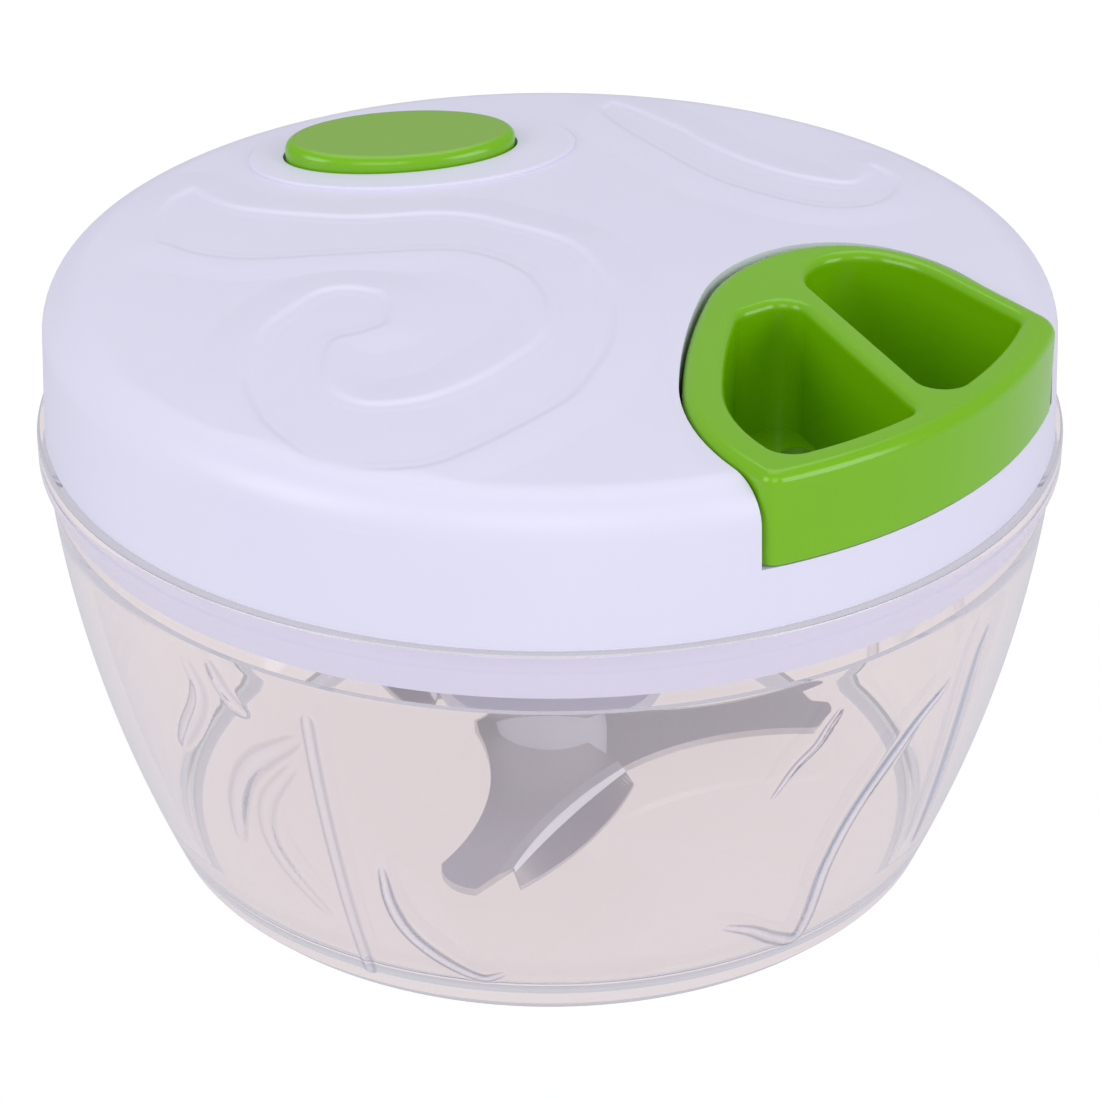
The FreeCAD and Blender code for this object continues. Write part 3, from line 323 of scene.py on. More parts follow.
def clear_plastic(name, colour):
    """Clear plastic that lets lamp light through to what is inside it, and stays pale in its edges."""
    material, tree, shader, out = new_material(name)
    shader.inputs["Base Color"].default_value = colour
    shader.inputs["Transmission Weight"].default_value = 1.0
    shader.inputs["IOR"].default_value = BOWL_IOR
    shader.inputs["Specular IOR Level"].default_value = 0.3
    haze = spread(tree, noise(tree, HAZE_SCALE), 0.0, HAZE_ROUGHNESS)
    tree.links.new(haze, shader.inputs["Roughness"])
    path = tree.nodes.new("ShaderNodeLightPath")
    deep = tree.nodes.new("ShaderNodeMath")
    deep.operation = "GREATER_THAN"
    deep.inputs[1].default_value = DEEP_RAY
    tree.links.new(path.outputs["Ray Depth"], deep.inputs[0])
    pale = blend_shaders(tree, deep.outputs["Value"], shader.outputs["BSDF"],
                         see_through(tree, DEEP_TONE))
    lamps = larger(tree, path.outputs["Is Shadow Ray"], path.outputs["Is Diffuse Ray"])
    tree.links.new(blend_shaders(tree, lamps, pale, see_through(tree, LAMP_TONE)),
                   out.inputs["Surface"])
    return material


def standing_face(name):
    """The bowl's flat underside, where it meets the worktop and shows that instead of a mirror."""
    material, tree, _, out = new_material(name)
    tree.links.new(see_through(tree, STANDING_TONE), out.inputs["Surface"])
    return material


def button_green_painted_sheen(name):
    """The button's green: rougher where it faces up, with a paler painted sheen in its colour there, and
    glossy and deeper round its edge.
    """
    material, tree, shader, _ = new_material(name)
    place = tree.nodes.new("ShaderNodeTexCoord")
    axes = tree.nodes.new("ShaderNodeSeparateXYZ")
    tree.links.new(place.outputs["Normal"], axes.inputs["Vector"])
    upward = tree.nodes.new("ShaderNodeMapRange")
    upward.inputs["From Min"].default_value = BUTTON_TOP[0]
    upward.inputs["From Max"].default_value = BUTTON_TOP[1]
    tree.links.new(axes.outputs["Z"], upward.inputs["Value"])
    # Up-facing faces get a paler, bluer green: painted sheen from the bright surroundings.
    mottle(tree, shader, upward.outputs["Result"], linear(118, 186, 10), linear(128, 174, 66))
    gloss = tree.nodes.new("ShaderNodeMapRange")
    gloss.inputs["To Min"].default_value = BUTTON_ROUGHNESS[0]
    gloss.inputs["To Max"].default_value = BUTTON_ROUGHNESS[1]
    tree.links.new(upward.outputs["Result"], gloss.inputs["Value"])
    tree.links.new(gloss.outputs["Result"], shader.inputs["Roughness"])
    grain(tree, shader, noise(tree, MOULD_SCALE, MOULD_DETAIL), 0.005 * MM)
    return material


def scroll_line(name):
    """The raised lines on the bowl: clear, with painted shade on their flanks and a painted highlight on
    top.
    """
    material, tree, shader, out = new_material(name)
    # This white, mixed in by the tone attribute's alpha, is a painted highlight; the tone colour darkens
    # the flanks as painted shade.
    shader.inputs["Base Color"].default_value = linear(238, 234, 246)
    shader.inputs["Roughness"].default_value = 0.2
    tone = tree.nodes.new("ShaderNodeAttribute")
    tone.attribute_name = "tone"
    clear = tree.nodes.new("ShaderNodeBsdfTransparent")
    tree.links.new(tone.outputs["Color"], clear.inputs["Color"])
    lined = blend_shaders(tree, tone.outputs["Alpha"], clear.outputs["BSDF"], shader.outputs["BSDF"])
    tree.links.new(lined, out.inputs["Surface"])
    return material


def braid(name):
    """White braided cord: crossed strands as bands of bump, darker where the bump is low, as painted shade
    in the grooves.
    """
    material, tree, shader, _ = new_material(name)
    place = tree.nodes.new("ShaderNodeTexCoord")
    bands = []
    for lean in (1, -1):
        turn = tree.nodes.new("ShaderNodeMapping")
        turn.inputs["Rotation"].default_value = (0, 0, lean * math.radians(BRAID_LEAN))
        wave = tree.nodes.new("ShaderNodeTexWave")
        wave.inputs["Scale"].default_value = BRAID_SCALE
        tree.links.new(place.outputs["Object"], turn.inputs["Vector"])
        tree.links.new(turn.outputs["Vector"], wave.inputs["Vector"])
        bands.append(wave.outputs["Fac"])
    weave = larger(tree, *bands)
    # The low parts of the weave are darker: painted shade between the strands.
    mottle(tree, shader, weave, linear(190, 188, 186), linear(238, 238, 236))
    shader.inputs["Roughness"].default_value = 0.8
    grain(tree, shader, weave, 0.12 * MM)
    return material


MATERIALS = {
    "clear_plastic": clear_plastic("clear_plastic", (0.985, 0.972, 0.975, 1.0)),
    # The bowl's base corner: a darker blue-grey tint, painted shade.
    "clear_corner_painted_shade": clear_plastic("clear_corner_painted_shade", (0.50, 0.54, 0.64, 1.0)),
    "scroll_line": scroll_line("scroll_line"),
    "standing_face": standing_face("standing_face"),
    "white_plastic": moulded_plastic("white_plastic", linear(222, 220, 243), linear(226, 225, 246),
                                     0.36, 0.004 * MM),
    "green_plastic": moulded_plastic("green_plastic", linear(116, 181, 4), linear(122, 186, 8),
                                     0.18, 0.004 * MM),
    "button_green_painted_sheen": button_green_painted_sheen("button_green_painted_sheen"),
    "hub_plastic": moulded_plastic("hub_plastic", linear(218, 216, 224), linear(226, 224, 232),
                                   0.4, 0.006 * MM),
    "blade_steel": brushed_metal("blade_steel", linear(224, 220, 221), 0.34, (1, 6, 1), 0.002 * MM,
                                 metallic=0.5),
    # A white, non-metal skin: a painted highlight along each blade's bend.
    "bend_painted_highlight": brushed_metal("bend_painted_highlight", linear(252, 250, 251), 0.35, (1, 6, 1), 0.001 * MM,
                                   metallic=0.0),
    "ground_steel": brushed_metal("ground_steel", linear(200, 195, 197), 0.45, (1, 9, 1), 0.004 * MM,
                                  metallic=0.6),
    "turned_steel": brushed_metal("turned_steel", linear(200, 199, 198), 0.22, (1, 1, 8), 0.003 * MM),
    "spring_steel": brushed_metal("spring_steel", linear(150, 155, 168), 0.3, (1, 1, 6), 0.003 * MM),
    "bearing_brass": brushed_metal("bearing_brass", linear(206, 172, 98), 0.28, (1, 1, 8), 0.003 * MM),
    "acetal": moulded_plastic("acetal", linear(236, 234, 226), linear(240, 238, 231), 0.42, 0.005 * MM),
    "braided_cord": braid("braided_cord"),
    "brake_rubber": moulded_plastic("brake_rubber", linear(38, 38, 40), linear(46, 46, 48),
                                    0.75, 0.02 * MM),
}


def dress_nodes():
    """Give every carried-over part the material of its slot in the record."""
    for entry in frame["record"]["subparts"]:
        part = nodes[entry["node"]]
        part.data.materials.clear()
        part.data.materials.append(MATERIALS[entry["material_slot"]])
    nodes["press_button"].data.materials[0] = MATERIALS["button_green_painted_sheen"]


# The bowl.


def wall_radius(height):
    """Radius of the bowl's outside at a height below its lip."""
    share = height / (BOWL_HEIGHT - LIP_HEIGHT)
    return (BASE_RADIUS + (WALL_TOP_RADIUS - BASE_RADIUS) * share
            + 4 * WALL_BULGE * share * (1 - share))


def bowl_outline():
    """The bowl's section from the axis under the floor, up the outside, and down the inside.

    The last number of each stretch is its count of points.
    """
    lip_low = BOWL_HEIGHT - LIP_HEIGHT
    ledge = BOWL_HEIGHT - PLUG_DEPTH
    foot = FLOOR + FLOOR_CORNER
    inner_foot = wall_radius(foot) - WALL
    outside = [(wall_radius(height), height) for height in np.linspace(BASE_CORNER, lip_low, OUTSIDE_ROWS)]
    inside = [(wall_radius(height) - WALL, height) for height in np.linspace(ledge, foot, INSIDE_ROWS)]
    edge = LIP_EDGE
    return join(
        line((0, 0), (BASE_RADIUS - BASE_CORNER, 0), 7),
        arc((BASE_RADIUS - BASE_CORNER, BASE_CORNER), BASE_CORNER, -90, 0, 7),
        outside,
        line((WALL_TOP_RADIUS, lip_low), (LIP_RADIUS - edge, lip_low), 2),
        arc((LIP_RADIUS - edge, lip_low + edge), edge, -90, 0, 4),
        line((LIP_RADIUS, lip_low + edge), (LIP_RADIUS, BOWL_HEIGHT - edge), 4),
        arc((LIP_RADIUS - edge, BOWL_HEIGHT - edge), edge, 0, 90, 4),
        arc((PLUG_RADIUS + edge, BOWL_HEIGHT - edge), edge, 90, 180, 4),
        line((PLUG_RADIUS, BOWL_HEIGHT - edge), (PLUG_RADIUS, ledge), 4),
        line((PLUG_RADIUS, ledge), (wall_radius(ledge) - WALL + edge, ledge), 2),
        arc((wall_radius(ledge) - WALL + edge, ledge - edge), edge, 90, 180, 4),
        inside[1:],
        arc((inner_foot - FLOOR_CORNER, foot), FLOOR_CORNER, 0, -90, 10),
        line((inner_foot - FLOOR_CORNER, FLOOR), (BOSS_RADIUS, FLOOR), 7),
        line((BOSS_RADIUS, FLOOR), (BOSS_RADIUS, BOSS_TOP), 3),
        line((BOSS_RADIUS, BOSS_TOP), (PIN_RADIUS, BOSS_TOP), 2),
        line((PIN_RADIUS, BOSS_TOP), (PIN_RADIUS, PIN_SEAT), 3),
        line((PIN_RADIUS, PIN_SEAT), (0, PIN_SEAT), 2),
    )


# Raised scroll lines on the bowl's outside: points as (height in mm, angle in degrees), then the
# line's half width and height in mm, the share of its length at each end that tapers, and how
# strong its painted shade on the flanks and painted highlight on top are. At its tips a line has
# RIDGE_TIP of its width.
RIDGES = [
    ([(47.3, -61.4), (36.0, -61.0), (24.0, -60.6), (12.0, -60.3), (3.6, -60.1)], 1.1, 0.3, 0.03, 0.5),
    ([(25.2, -54.8), (18.8, -54.4), (13.7, -52.6), (9.6, -48.7), (7.0, -44.0), (8.2, -40.7)],
     1.2, 0.45, 0.35, 1.0),
    ([(43.2, -62.6), (36.3, -69.9), (29.4, -73.4), (21.3, -75.4)], 2.0, 0.25, 0.3, 0.3),
    ([(38.7, -63.8), (31.7, -68.4), (25.7, -69.8), (20.2, -68.3), (13.2, -63.6)], 1.6, 0.25, 0.3, 0.25),
    ([(49.1, -77.7), (43.5, -76.3), (33.7, -81.6)], 1.8, 0.22, 0.3, 0.25),
    ([(50.2, -74.1), (46.0, -71.8), (44.0, -69.2)], 1.5, 0.22, 0.3, 0.35),
    ([(41.8, 15.6), (37.4, 9.6), (28.5, 3.3), (19.6, 0.7), (10.1, 0.6), (6.7, -0.4), (8.5, -4.3),
      (11.6, -8.6), (13.7, -12.9)], 1.3, 0.33, 0.2, 0.8),
    ([(46.5, 22.8), (42.6, 21.1), (36.0, 20.6), (26.5, 20.7), (11.3, 22.0)], 1.4, 0.3, 0.3, 0.4),
    ([(46.1, -2.5), (43.8, -4.0), (41.4, -5.3), (38.9, -7.6), (34.6, -10.0)], 0.6, 0.25, 0.3, 0.9),
]
RIDGE_REPEATS = (0, 150)
# Across a line: the place as a share of its half width, how much of its painted shade, and how
# much painted highlight.
RIDGE_BANDS = [(-1.0, 0.0, 0.0), (-0.78, 0.75, 0.0), (-0.6, 1.0, 0.0), (-0.38, 0.35, 0.25),
               (0.0, 0.0, 0.5),
               (0.38, 0.35, 0.25), (0.6, 1.0, 0.0), (0.78, 0.75, 0.0), (1.0, 0.0, 0.0)]
RIDGE_PAINTED_SHADE = np.array((0.55, 0.59, 0.68))
RIDGE_LIFT = 0.04 * MM
RIDGE_TIP = 0.35


def ridge_taper(along, full):
    """How full a line is along its length, from 0 at its tips to 1."""
    return np.sqrt(np.clip(np.minimum(along, 1 - along) / full, 0, 1))


def ridge_width(half_width, taper):
    return half_width * (RIDGE_TIP + (1 - RIDGE_TIP) * taper)


def ridge_bell(share):
    """A line's height across its width, from 1 in the middle to 0 at its edges."""
    return np.clip(1 - share ** 2, 0, 1) ** 2


def ridge_height(heights, angles):
    """How far the scroll lines stand out of the wall at each (height, angle), in metres."""
    rise = np.zeros(len(heights))
    for points, half_width, height, full, _ in RIDGES:
        for turn in RIDGE_REPEATS:
            route = np.array([(z, angle + turn) for z, angle in points])
            middle = math.radians(route[:, 1].mean())
            offset = (angles - middle + math.pi) % (2 * math.pi) - math.pi
            flat = np.column_stack([heights / MM, offset * wall_radius(heights) / MM])
            radius = wall_radius(route[:, 0] * MM) / MM
            around = (np.radians(route[:, 1]) - middle) * radius
            run = smooth_line(np.column_stack([route[:, 0], around]))
            gap, along = nearest(flat, run)
            taper = ridge_taper(along, full)
            width = ridge_width(half_width, taper)
            rise = np.maximum(rise, height * MM * ridge_bell(gap / width) * taper)
    return rise


def make_ridge_line(name, points, half_width, height, full, tone, turn):
    """A skin over one scroll line, carrying painted shade on its flanks and a painted highlight on its
    top.
    """
    route = smooth_line([(z * MM, math.radians(angle + turn)) for z, angle in points], 12)
    radius = wall_radius(route[:, 0])
    east, north = np.cos(route[:, 1]), np.sin(route[:, 1])
    centre = np.column_stack([radius * east, radius * north, route[:, 0]])
    heading = np.gradient(centre, axis=0)
    heading /= np.linalg.norm(heading, axis=1)[:, None]
    outward = np.column_stack([east, north, np.zeros(len(route))])
    across = np.cross(outward, heading)
    across /= np.linalg.norm(across, axis=1)[:, None]
    lengths = np.linalg.norm(np.diff(centre, axis=0), axis=1)
    along = np.concatenate([[0], np.cumsum(lengths)]) / lengths.sum()
    taper = ridge_taper(along, full)
    width = ridge_width(half_width * MM, taper)
    made, tones = [], []
    for share, dark, pale in RIDGE_BANDS:
        spot = centre + across * (share * width)[:, None]
        angle = np.arctan2(spot[:, 1], spot[:, 0])
        reach = wall_radius(spot[:, 2]) + height * MM * ridge_bell(share) * taper + RIDGE_LIFT
        made.append(np.column_stack([reach * np.cos(angle), reach * np.sin(angle), spot[:, 2]]))
        fade = (tone * np.minimum(1, 2 * taper))[:, None]
        # Per band: a tint darkened by painted shade, and the share of painted highlight.
        tones.append(np.hstack([1 - dark * fade * (1 - RIDGE_PAINTED_SHADE), pale * fade]))
    rows = len(route)
    faces = [(here, here + rows, here + rows + 1, here + 1)
             for band in range(len(RIDGE_BANDS) - 1)
             for here in range(band * rows, band * rows + rows - 1)]
    ridge = mesh_piece(name, np.vstack(made), faces)
    colours = ridge.data.color_attributes.new(name="tone", type="FLOAT_COLOR", domain="POINT")
    colours.data.foreach_set("color", np.vstack(tones).ravel())
    dress(ridge, "bowl", MATERIALS["scroll_line"])


def make_ridge_lines():
    """A skin over every scroll line on the bowl."""
    for turn in RIDGE_REPEATS:
        for number, ridge in enumerate(RIDGES, start=1):
            make_ridge_line(f"scroll_{number}_{turn}", *ridge, turn)


def make_bowl():
    """The clear bowl, its section turned about the axis, with the scroll lines raised on it."""
    outline = bowl_outline()
    ring = np.array(outline[1:-1])
    angles = np.linspace(0, 2 * math.pi, BOWL_SIDES, endpoint=False)
    radius = np.repeat(ring[:, 0][:, None], BOWL_SIDES, axis=1)
    height = np.repeat(ring[:, 1][:, None], BOWL_SIDES, axis=1)
    wall = np.array([abs(reach - wall_radius(level)) < NEARLY_NOTHING and level < BOWL_HEIGHT - LIP_HEIGHT
                     for reach, level in ring])
    all_angles = np.repeat(angles[None, :], len(ring), axis=0)
    rise = np.zeros_like(radius)
    raised = ridge_height(height[wall].ravel(), all_angles[wall].ravel())
    rise[wall] = raised.reshape(rise[wall].shape)
    radius = radius + rise
    points = np.column_stack([(radius * np.cos(all_angles)).ravel(),
                              (radius * np.sin(all_angles)).ravel(), height.ravel()])
    points = np.vstack([points, [[0, 0, outline[0][1]], [0, 0, outline[-1][1]]]])
    low_pole, high_pole = len(points) - 2, len(points) - 1
    faces = []
    for row in range(len(ring) - 1):
        for side in range(BOWL_SIDES):
            after = (side + 1) % BOWL_SIDES
            here, above = row * BOWL_SIDES, (row + 1) * BOWL_SIDES
            faces.append((here + side, here + after, above + after, above + side))
    last = (len(ring) - 1) * BOWL_SIDES
    for side in range(BOWL_SIDES):
        after = (side + 1) % BOWL_SIDES
        faces.append((low_pole, after, side))
        faces.append((high_pole, last + side, last + after))
    bowl = mesh_piece("clear_bowl", points, faces)
    bowl.data.set_sharp_from_angle(angle=math.radians(SHARP_ANGLE))
    dress(bowl, "bowl", MATERIALS["clear_plastic"])
    bowl.data.materials.append(MATERIALS["standing_face"])
    bowl.data.materials.append(MATERIALS["clear_corner_painted_shade"])
    # Faces below CORNER_TOP take the corner material, whose darker tint is painted shade.
    for face in bowl.data.polygons:
        if face.center.z < NEARLY_NOTHING:
            face.material_index = 1
        elif face.center.z < CORNER_TOP:
            face.material_index = 2
    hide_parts("bowl")


# The blades' bends: a band of painted highlight, white and not metal, along the inner side of each
# ground edge, and the dull grind beside it. Places are (x, y) in mm in the blade's own plan, with
# its tip on +X. The crease and the outer edge are each given as start, end and rise; the drops are
# below the blade's flat top.
# The band and the grind take shares of the width from the crease to the outer edge.

BLADE_TURNS = {"lower_blade": 64, "middle_blade": -56, "upper_blade": -176}
CREASE = ((33.5, 8.0), (7.0, 13.0), 1.35)
OUTER_EDGE = ((34.2, 9.2), (7.0, 14.5), -1.75)
CREASE_DROP = 0.55
EDGE_DROP = 2.2
SKIN_LIFT = 0.04
SKIN_STATIONS = 40
BEND_SHARES = (0.0, 0.24)
GRIND_SHARES = (0.24, 0.98)


def bowed(start, end, rise, share):
    """A point of a shallow arc that bows out to the left of its chord by the rise."""
    start, end = np.array(start), np.array(end)
    chord = end - start
    left = np.array((-chord[1], chord[0])) / np.linalg.norm(chord)
    return start + chord * share + left * rise * 4 * share * (1 - share)


def make_bend_skin(node, name, shares, material):
    """A thin skin laid over part of the width of a blade's ground edge."""
    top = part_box(node)[1].z
    turn = math.radians(BLADE_TURNS[node])
    points = []
    for share in np.linspace(0, 1, SKIN_STATIONS):
        crease, outer = bowed(*CREASE, share), bowed(*OUTER_EDGE, share)
        for across in shares:
            x, y = crease + (outer - crease) * across
            points.append(((x * math.cos(turn) - y * math.sin(turn)) * MM,
                           (x * math.sin(turn) + y * math.cos(turn)) * MM,
                           top + (SKIN_LIFT - CREASE_DROP - EDGE_DROP * across) * MM))
    faces = [(2 * index, 2 * index + 1, 2 * index + 3, 2 * index + 2)
             for index in range(SKIN_STATIONS - 1)]
    skin = mesh_piece(f"{node}_{name}", points, faces)
    dress(skin, "blade_unit", material)


def make_bends():
    for node in BLADE_TURNS:
        # The bend skin carries a painted highlight; the grind skin is the ground steel.
        make_bend_skin(node, "bend", BEND_SHARES, MATERIALS["bend_painted_highlight"])
        make_bend_skin(node, "grind", GRIND_SHARES, MATERIALS["ground_steel"])


# The scroll relief on the lid: bands left at the lid's own level, in a low swell that fades away
# round them. The outlines and the values without MM are in mm, seen from above.

SCROLL_RISE = 0.25 * MM
SCROLL_EDGE = 1.1
SCROLL_FLOOR = 0.03 * MM
SCROLL_SINK = 0.08 * MM
SCROLL_REACH = 8.0
SCROLL_INSIDE = 3.0
SCROLL_STEP = 0.33
SCROLL_RIM = 60.0
SCROLL_RIM_FADE = 3.0
GREAT_SCROLL = [
    (-46.5, -24.5), (-41.7, -24.6), (-36.1, -23.0), (-28.8, -17.4), (-24.0, -12.3), (-19.8, -4.8),
    (-15.9, -0.9), (-10.4, 1.6), (-3.5, 4.1), (1.6, 4.0), (8.7, 2.0), (16.5, -2.1), (23.9, -7.7),
    (29.3, -14.3), (33.3, -20.9), (35.6, -29.9), (36.7, -36.6), (36.8, -42.0), (34.3, -47.0),
    (29.6, -51.5), (21.6, -52.2), (15.0, -51.4), (7.4, -48.7), (2.5, -44.9), (-3.0, -39.8),
    (-6.0, -34.2), (-7.8, -29.3), (-6.8, -25.6), (-2.9, -23.3), (1.6, -25.0), (4.6, -27.6),
    (4.8, -31.3), (4.7, -35.1), (9.8, -39.3), (14.7, -41.4), (20.3, -40.3), (23.3, -34.6),
    (23.2, -27.5), (21.1, -20.0), (18.3, -14.2), (13.6, -9.7), (6.4, -6.4), (0.3, -5.7),
    (-6.1, -7.5), (-9.9, -11.3), (-16.3, -22.1), (-21.7, -30.9), (-27.2, -35.0), (-31.9, -36.2),
    (-34.4, -36.7), (-41.0, -32.8), (-44.7, -28.9),
]
SMALL_SCROLL = [
    (-39.9, 38.7), (-34.8, 39.5), (-26.0, 39.9), (-19.3, 39.5), (-12.7, 39.9), (-5.6, 41.6),
    (-0.2, 44.6), (1.9, 47.4), (0.4, 51.4), (-1.5, 53.4), (3.3, 53.2), (7.7, 49.4), (9.2, 43.6),
    (6.1, 37.9), (-2.2, 34.0), (-9.9, 32.3), (-21.0, 32.7), (-32.1, 33.7), (-37.9, 35.3),
]


def lid_height(reach):
    """Height of the lid's outside at a distance from its axis."""
    radius = (LID_FLAT_RADIUS ** 2 + LID_CROWN ** 2) / (2 * LID_CROWN)
    flat_reach = np.minimum(reach, LID_FLAT_RADIUS)
    crown = LID_SHOULDER_TOP + LID_CROWN - radius + np.sqrt(radius ** 2 - flat_reach ** 2)
    over = np.clip(reach - LID_FLAT_RADIUS, 0, LID_SHOULDER * LID_SHOULDER_SHARE)
    return crown - LID_SHOULDER + np.sqrt(LID_SHOULDER ** 2 - over ** 2)


def inside_of(points, outline):
    """Which points lie inside a closed outline."""
    inside = np.zeros(len(points), bool)
    x, y = points[:, 0], points[:, 1]
    for (ax, ay), (bx, by) in zip(outline, np.roll(outline, -1, axis=0)):
        if ay == by:
            continue
        crosses = (ay > y) != (by > y)
        inside ^= crosses & (x < (bx - ax) * (y - ay) / (by - ay) + ax)
    return inside


def make_scroll(name, corners):
    """The swell round a band: full beside the band's edge, and fading into the lid away from it."""
    closed = smooth_line(corners + [corners[0]], 6)
    low, high = closed.min(axis=0) - SCROLL_REACH, closed.max(axis=0) + SCROLL_REACH
    across = np.arange(low[0], high[0], SCROLL_STEP)
    upward = np.arange(low[1], high[1], SCROLL_STEP)
    grid = np.array([(x, y) for y in upward for x in across])
    gap, _ = nearest(grid, closed)
    depth = np.where(inside_of(grid, closed[:-1]), gap, -gap)
    reach = np.linalg.norm(grid, axis=1)
    fade = np.minimum(eased(1 + depth / SCROLL_REACH), eased((SCROLL_RIM - reach) / SCROLL_RIM_FADE))
    sunken = eased(depth / SCROLL_EDGE + 0.5)
    merge = np.maximum(1 - fade, eased((depth - SCROLL_EDGE) / (SCROLL_INSIDE - SCROLL_EDGE)))
    rise = SCROLL_RISE * (1 - sunken) * fade + SCROLL_FLOOR - SCROLL_SINK * merge
    height = lid_height(reach * MM) + rise
    kept = (depth > -SCROLL_REACH) & (depth < SCROLL_INSIDE) & (reach < SCROLL_RIM)
    number = -np.ones(len(grid), int)
    number[kept] = np.arange(kept.sum())
    wide = len(across)
    faces = []
    for row in range(len(upward) - 1):
        for column in range(wide - 1):
            corner = row * wide + column
            square = (corner, corner + 1, corner + 1 + wide, corner + wide)
            if all(number[index] >= 0 for index in square):
                faces.append(tuple(number[index] for index in square))
    points = np.column_stack([grid * MM, height])[kept]
    scroll = mesh_piece(name, points, faces)
    dress(scroll, "lid", MATERIALS["white_plastic"])


# The cord. A layer is its radius, where on the ring it starts, in turns, and its first and last
# height. The drawn run reaches into the lead and the tail by CORD_OVERLAP.

CORD_LINE = 15.4 * MM
CORD_LEVEL = 70.0 * MM
CORD_RADIUS = 0.78 * MM
CORD_LAYERS = [(13.8 * MM, 0.0, 67.99 * MM, 72.01 * MM), (15.4 * MM, 0.5, 72.01 * MM, 67.99 * MM)]
LAYER_TURNS = 3.5
LAYER_STEPS = 240
DRAWN_STEPS = 81
CORD_OVERLAP = 0.5 * MM
CORD_SIDES = 12


def tube_along(name, route, radius):
    """A round tube along a line of points, open at its ends."""
    route = np.array(route, float)
    heading = np.gradient(route, axis=0)
    heading /= np.linalg.norm(heading, axis=1)[:, None]
    across = np.cross(heading, (0, 0, 1))
    across /= np.linalg.norm(across, axis=1)[:, None]
    upward = np.cross(across, heading)
    points = []
    for centre, one, two in zip(route, across, upward):
        for turn in np.linspace(0, 2 * math.pi, CORD_SIDES, endpoint=False):
            points.append(centre + radius * (math.cos(turn) * one + math.sin(turn) * two))
    faces = []
    for ring in range(len(route) - 1):
        here, above = ring * CORD_SIDES, (ring + 1) * CORD_SIDES
        for side in range(CORD_SIDES):
            after = (side + 1) % CORD_SIDES
            faces.append((here + side, here + after, above + after, above + side))
    return mesh_piece(name, points, faces)


def make_cord():
    """The turns on the spool, and the straight run drawn between the lid and the handle."""
    for number, (radius, start, low, high) in enumerate(CORD_LAYERS, start=1):
        route = []
        for share in np.linspace(0, 1, LAYER_STEPS):
            angle = 2 * math.pi * (start + LAYER_TURNS * share)
            route.append((radius * math.cos(angle), radius * math.sin(angle), low + (high - low) * share))
        layer = tube_along(f"wound_cord_{number}", route, CORD_RADIUS)
        dress(layer, "spool", MATERIALS["braided_cord"])
        if number == 1:
            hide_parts("cord_winding")
    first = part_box("cord_lead")[1].x - CORD_OVERLAP
    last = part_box("cord_tail")[0].x + CORD_OVERLAP
    run = [(x, CORD_LINE, CORD_LEVEL) for x in np.linspace(first, last, DRAWN_STEPS)]
    drawn = tube_along("drawn_cord", run, CORD_RADIUS)
    drawn.data.materials.append(MATERIALS["braided_cord"])
    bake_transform(drawn)


# The surroundings: a pale floor, a plain sky and four softboxes. The floor glows for the rays
# that see it, with a share of plain shading left that holds a faint shadow. Its glow, and the
# sky, have a tone of their own where they show through the bowl, and the floor one where it is
# mirrored. A lamp is its name, its place, its width and its power.

WHITE = (1.0, 1.0, 1.0, 1.0)
FLOOR_REACH = 2.0
FLOOR_LEVEL = -0.05 * MM
FLOOR_PLAIN = (0.9, 0.9, 0.9, 1.0)
FLOOR_THROUGH = (0.80, 0.73, 0.735, 1.0)
FLOOR_MIRRORED = (0.60, 0.595, 0.65, 1.0)
FLOOR_GLOW = 1.05
FLOOR_GLOW_SHARE = 0.88
SKY_LEVEL = 0.47
SKY_THROUGH = (0.97, 0.92, 0.96, 1.0)
LAMPS = [
    ("left_lamp", (-0.1, -1.35, 0.75), 0.8, 6.2),
    ("right_lamp", (1.25, 0.6, 0.65), 0.8, 6.6),
    ("front_lamp", (0.94, -0.66, 0.84), 0.7, 3.1),
    ("top_lamp", (-0.5, 0.3, 1.5), 1.2, 5.6),
]


def colour_for(tree, share, plain, other):
    """The plain colour, or the other one where the share is 1; plain is a colour or a socket."""
    mix = tree.nodes.new("ShaderNodeMix")
    mix.data_type = "RGBA"
    if isinstance(plain, tuple):
        mix.inputs["A"].default_value = plain
    else:
        tree.links.new(plain, mix.inputs["A"])
    mix.inputs["B"].default_value = other
    tree.links.new(share, mix.inputs["Factor"])
    return mix.outputs["Result"]


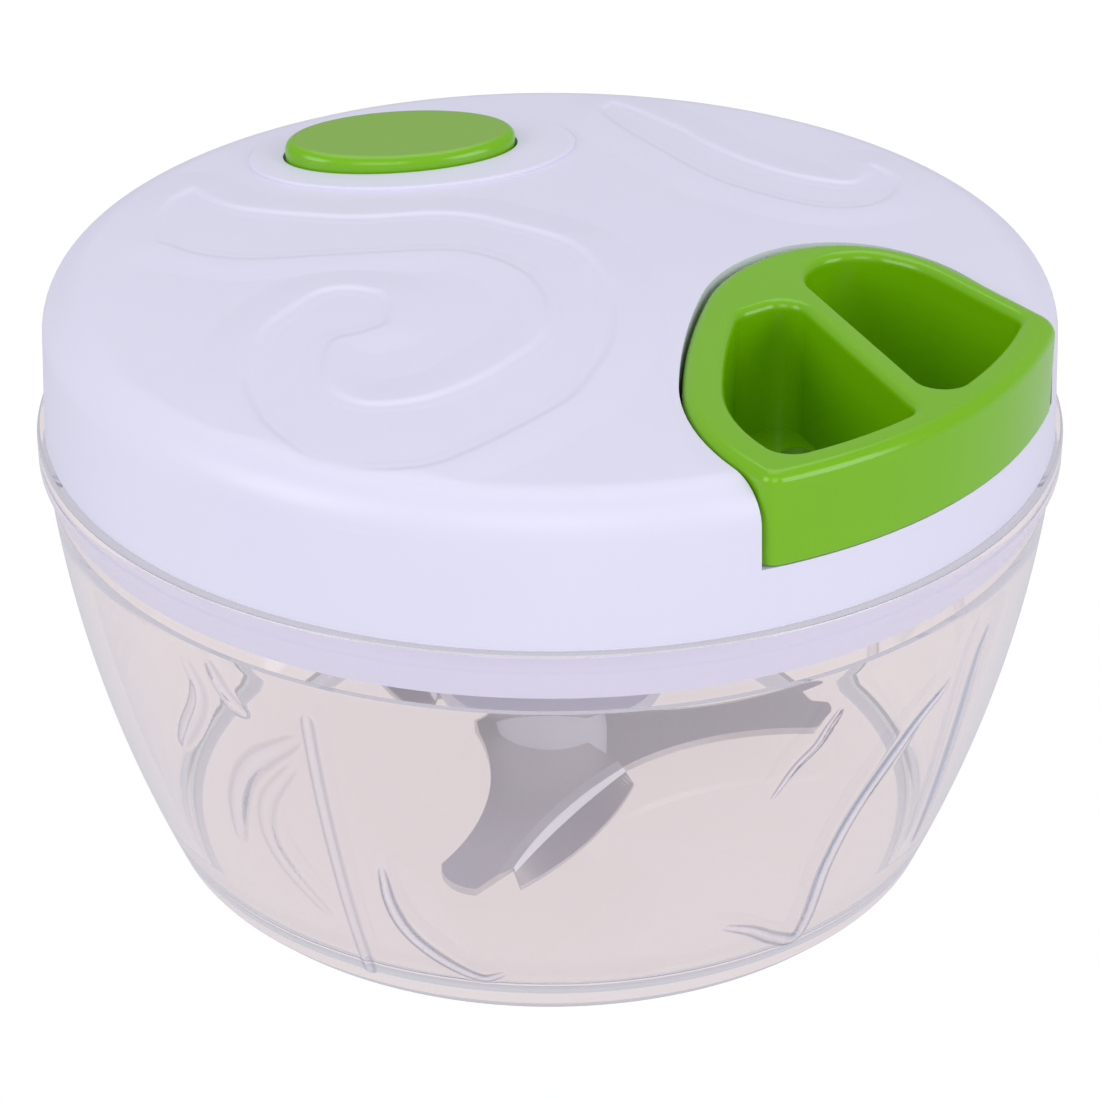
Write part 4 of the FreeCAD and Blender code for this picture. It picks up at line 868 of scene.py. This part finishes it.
def make_floor():
    corners = [(east * FLOOR_REACH, north * FLOOR_REACH, FLOOR_LEVEL)
               for east, north in ((-1, -1), (1, -1), (1, 1), (-1, 1))]
    floor = mesh_piece("floor", corners, [(0, 1, 2, 3)])
    material, tree, shader, out = new_material("studio_floor")
    shader.inputs["Base Color"].default_value = FLOOR_PLAIN
    shader.inputs["Roughness"].default_value = 0.9
    glow = tree.nodes.new("ShaderNodeEmission")
    path = tree.nodes.new("ShaderNodeLightPath")
    # A ray that has been refracted also counts as glossy, so its tone comes last.
    mirrored = colour_for(tree, path.outputs["Is Glossy Ray"], WHITE, FLOOR_MIRRORED)
    through = colour_for(tree, path.outputs["Is Transmission Ray"], mirrored, FLOOR_THROUGH)
    tree.links.new(through, glow.inputs["Color"])
    glow.inputs["Strength"].default_value = FLOOR_GLOW
    seen = larger(tree, path.outputs["Is Camera Ray"], path.outputs["Is Glossy Ray"])
    seen = larger(tree, seen, path.outputs["Is Transmission Ray"])
    share = tree.nodes.new("ShaderNodeMapRange")
    share.inputs["To Max"].default_value = FLOOR_GLOW_SHARE
    tree.links.new(seen, share.inputs["Value"])
    lit = blend_shaders(tree, share.outputs["Result"], shader.outputs["BSDF"], glow.outputs["Emission"])
    tree.links.new(lit, out.inputs["Surface"])
    floor.data.materials.append(material)


def make_world():
    world = bpy.data.worlds.new("studio")
    bpy.context.scene.world = world
    world.use_nodes = True
    tree = world.node_tree
    background = tree.nodes["Background"]
    path = tree.nodes.new("ShaderNodeLightPath")
    level = tree.nodes.new("ShaderNodeMapRange")
    level.inputs["To Min"].default_value = SKY_LEVEL
    level.inputs["To Max"].default_value = 1.0
    tree.links.new(path.outputs["Is Camera Ray"], level.inputs["Value"])
    tree.links.new(level.outputs["Result"], background.inputs["Strength"])
    through = colour_for(tree, path.outputs["Is Transmission Ray"], WHITE, SKY_THROUGH)
    tree.links.new(through, background.inputs["Color"])


def soft_lamp(name, place, width, strength):
    """A square softbox that faces the object."""
    lamp = bpy.data.lights.new(name, "AREA")
    lamp.shape = "SQUARE"
    lamp.size = width
    lamp.energy = strength
    holder = bpy.data.objects.new(name, lamp)
    bpy.context.scene.collection.objects.link(holder)
    holder.location = place
    holder.rotation_mode = "QUATERNION"
    holder.rotation_quaternion = (VIEW_TARGET - Vector(place)).to_track_quat("-Z", "Y")


def make_camera():
    data = bpy.data.cameras.new("view")
    data.lens = VIEW_LENS
    data.sensor_width = 36
    data.clip_start = 0.01
    data.clip_end = 20
    camera = bpy.data.objects.new("view", data)
    bpy.context.scene.collection.objects.link(camera)
    back = Vector((math.sin(VIEW_TURN) * math.cos(VIEW_RISE),
                   -math.cos(VIEW_TURN) * math.cos(VIEW_RISE), math.sin(VIEW_RISE)))
    camera.location = VIEW_TARGET + VIEW_DISTANCE * back
    camera.rotation_mode = "QUATERNION"
    camera.rotation_quaternion = (-back).to_track_quat("-Z", "Y")
    bpy.context.scene.camera = camera


bpy.context.scene.view_settings.view_transform = "Standard"
dress_nodes()
make_bowl()
make_ridge_lines()
make_bends()
make_scroll("great_scroll", GREAT_SCROLL)
make_scroll("small_scroll", SMALL_SCROLL)
make_cord()
make_floor()
make_world()
for lamp_values in LAMPS:
    soft_lamp(*lamp_values)
make_camera()
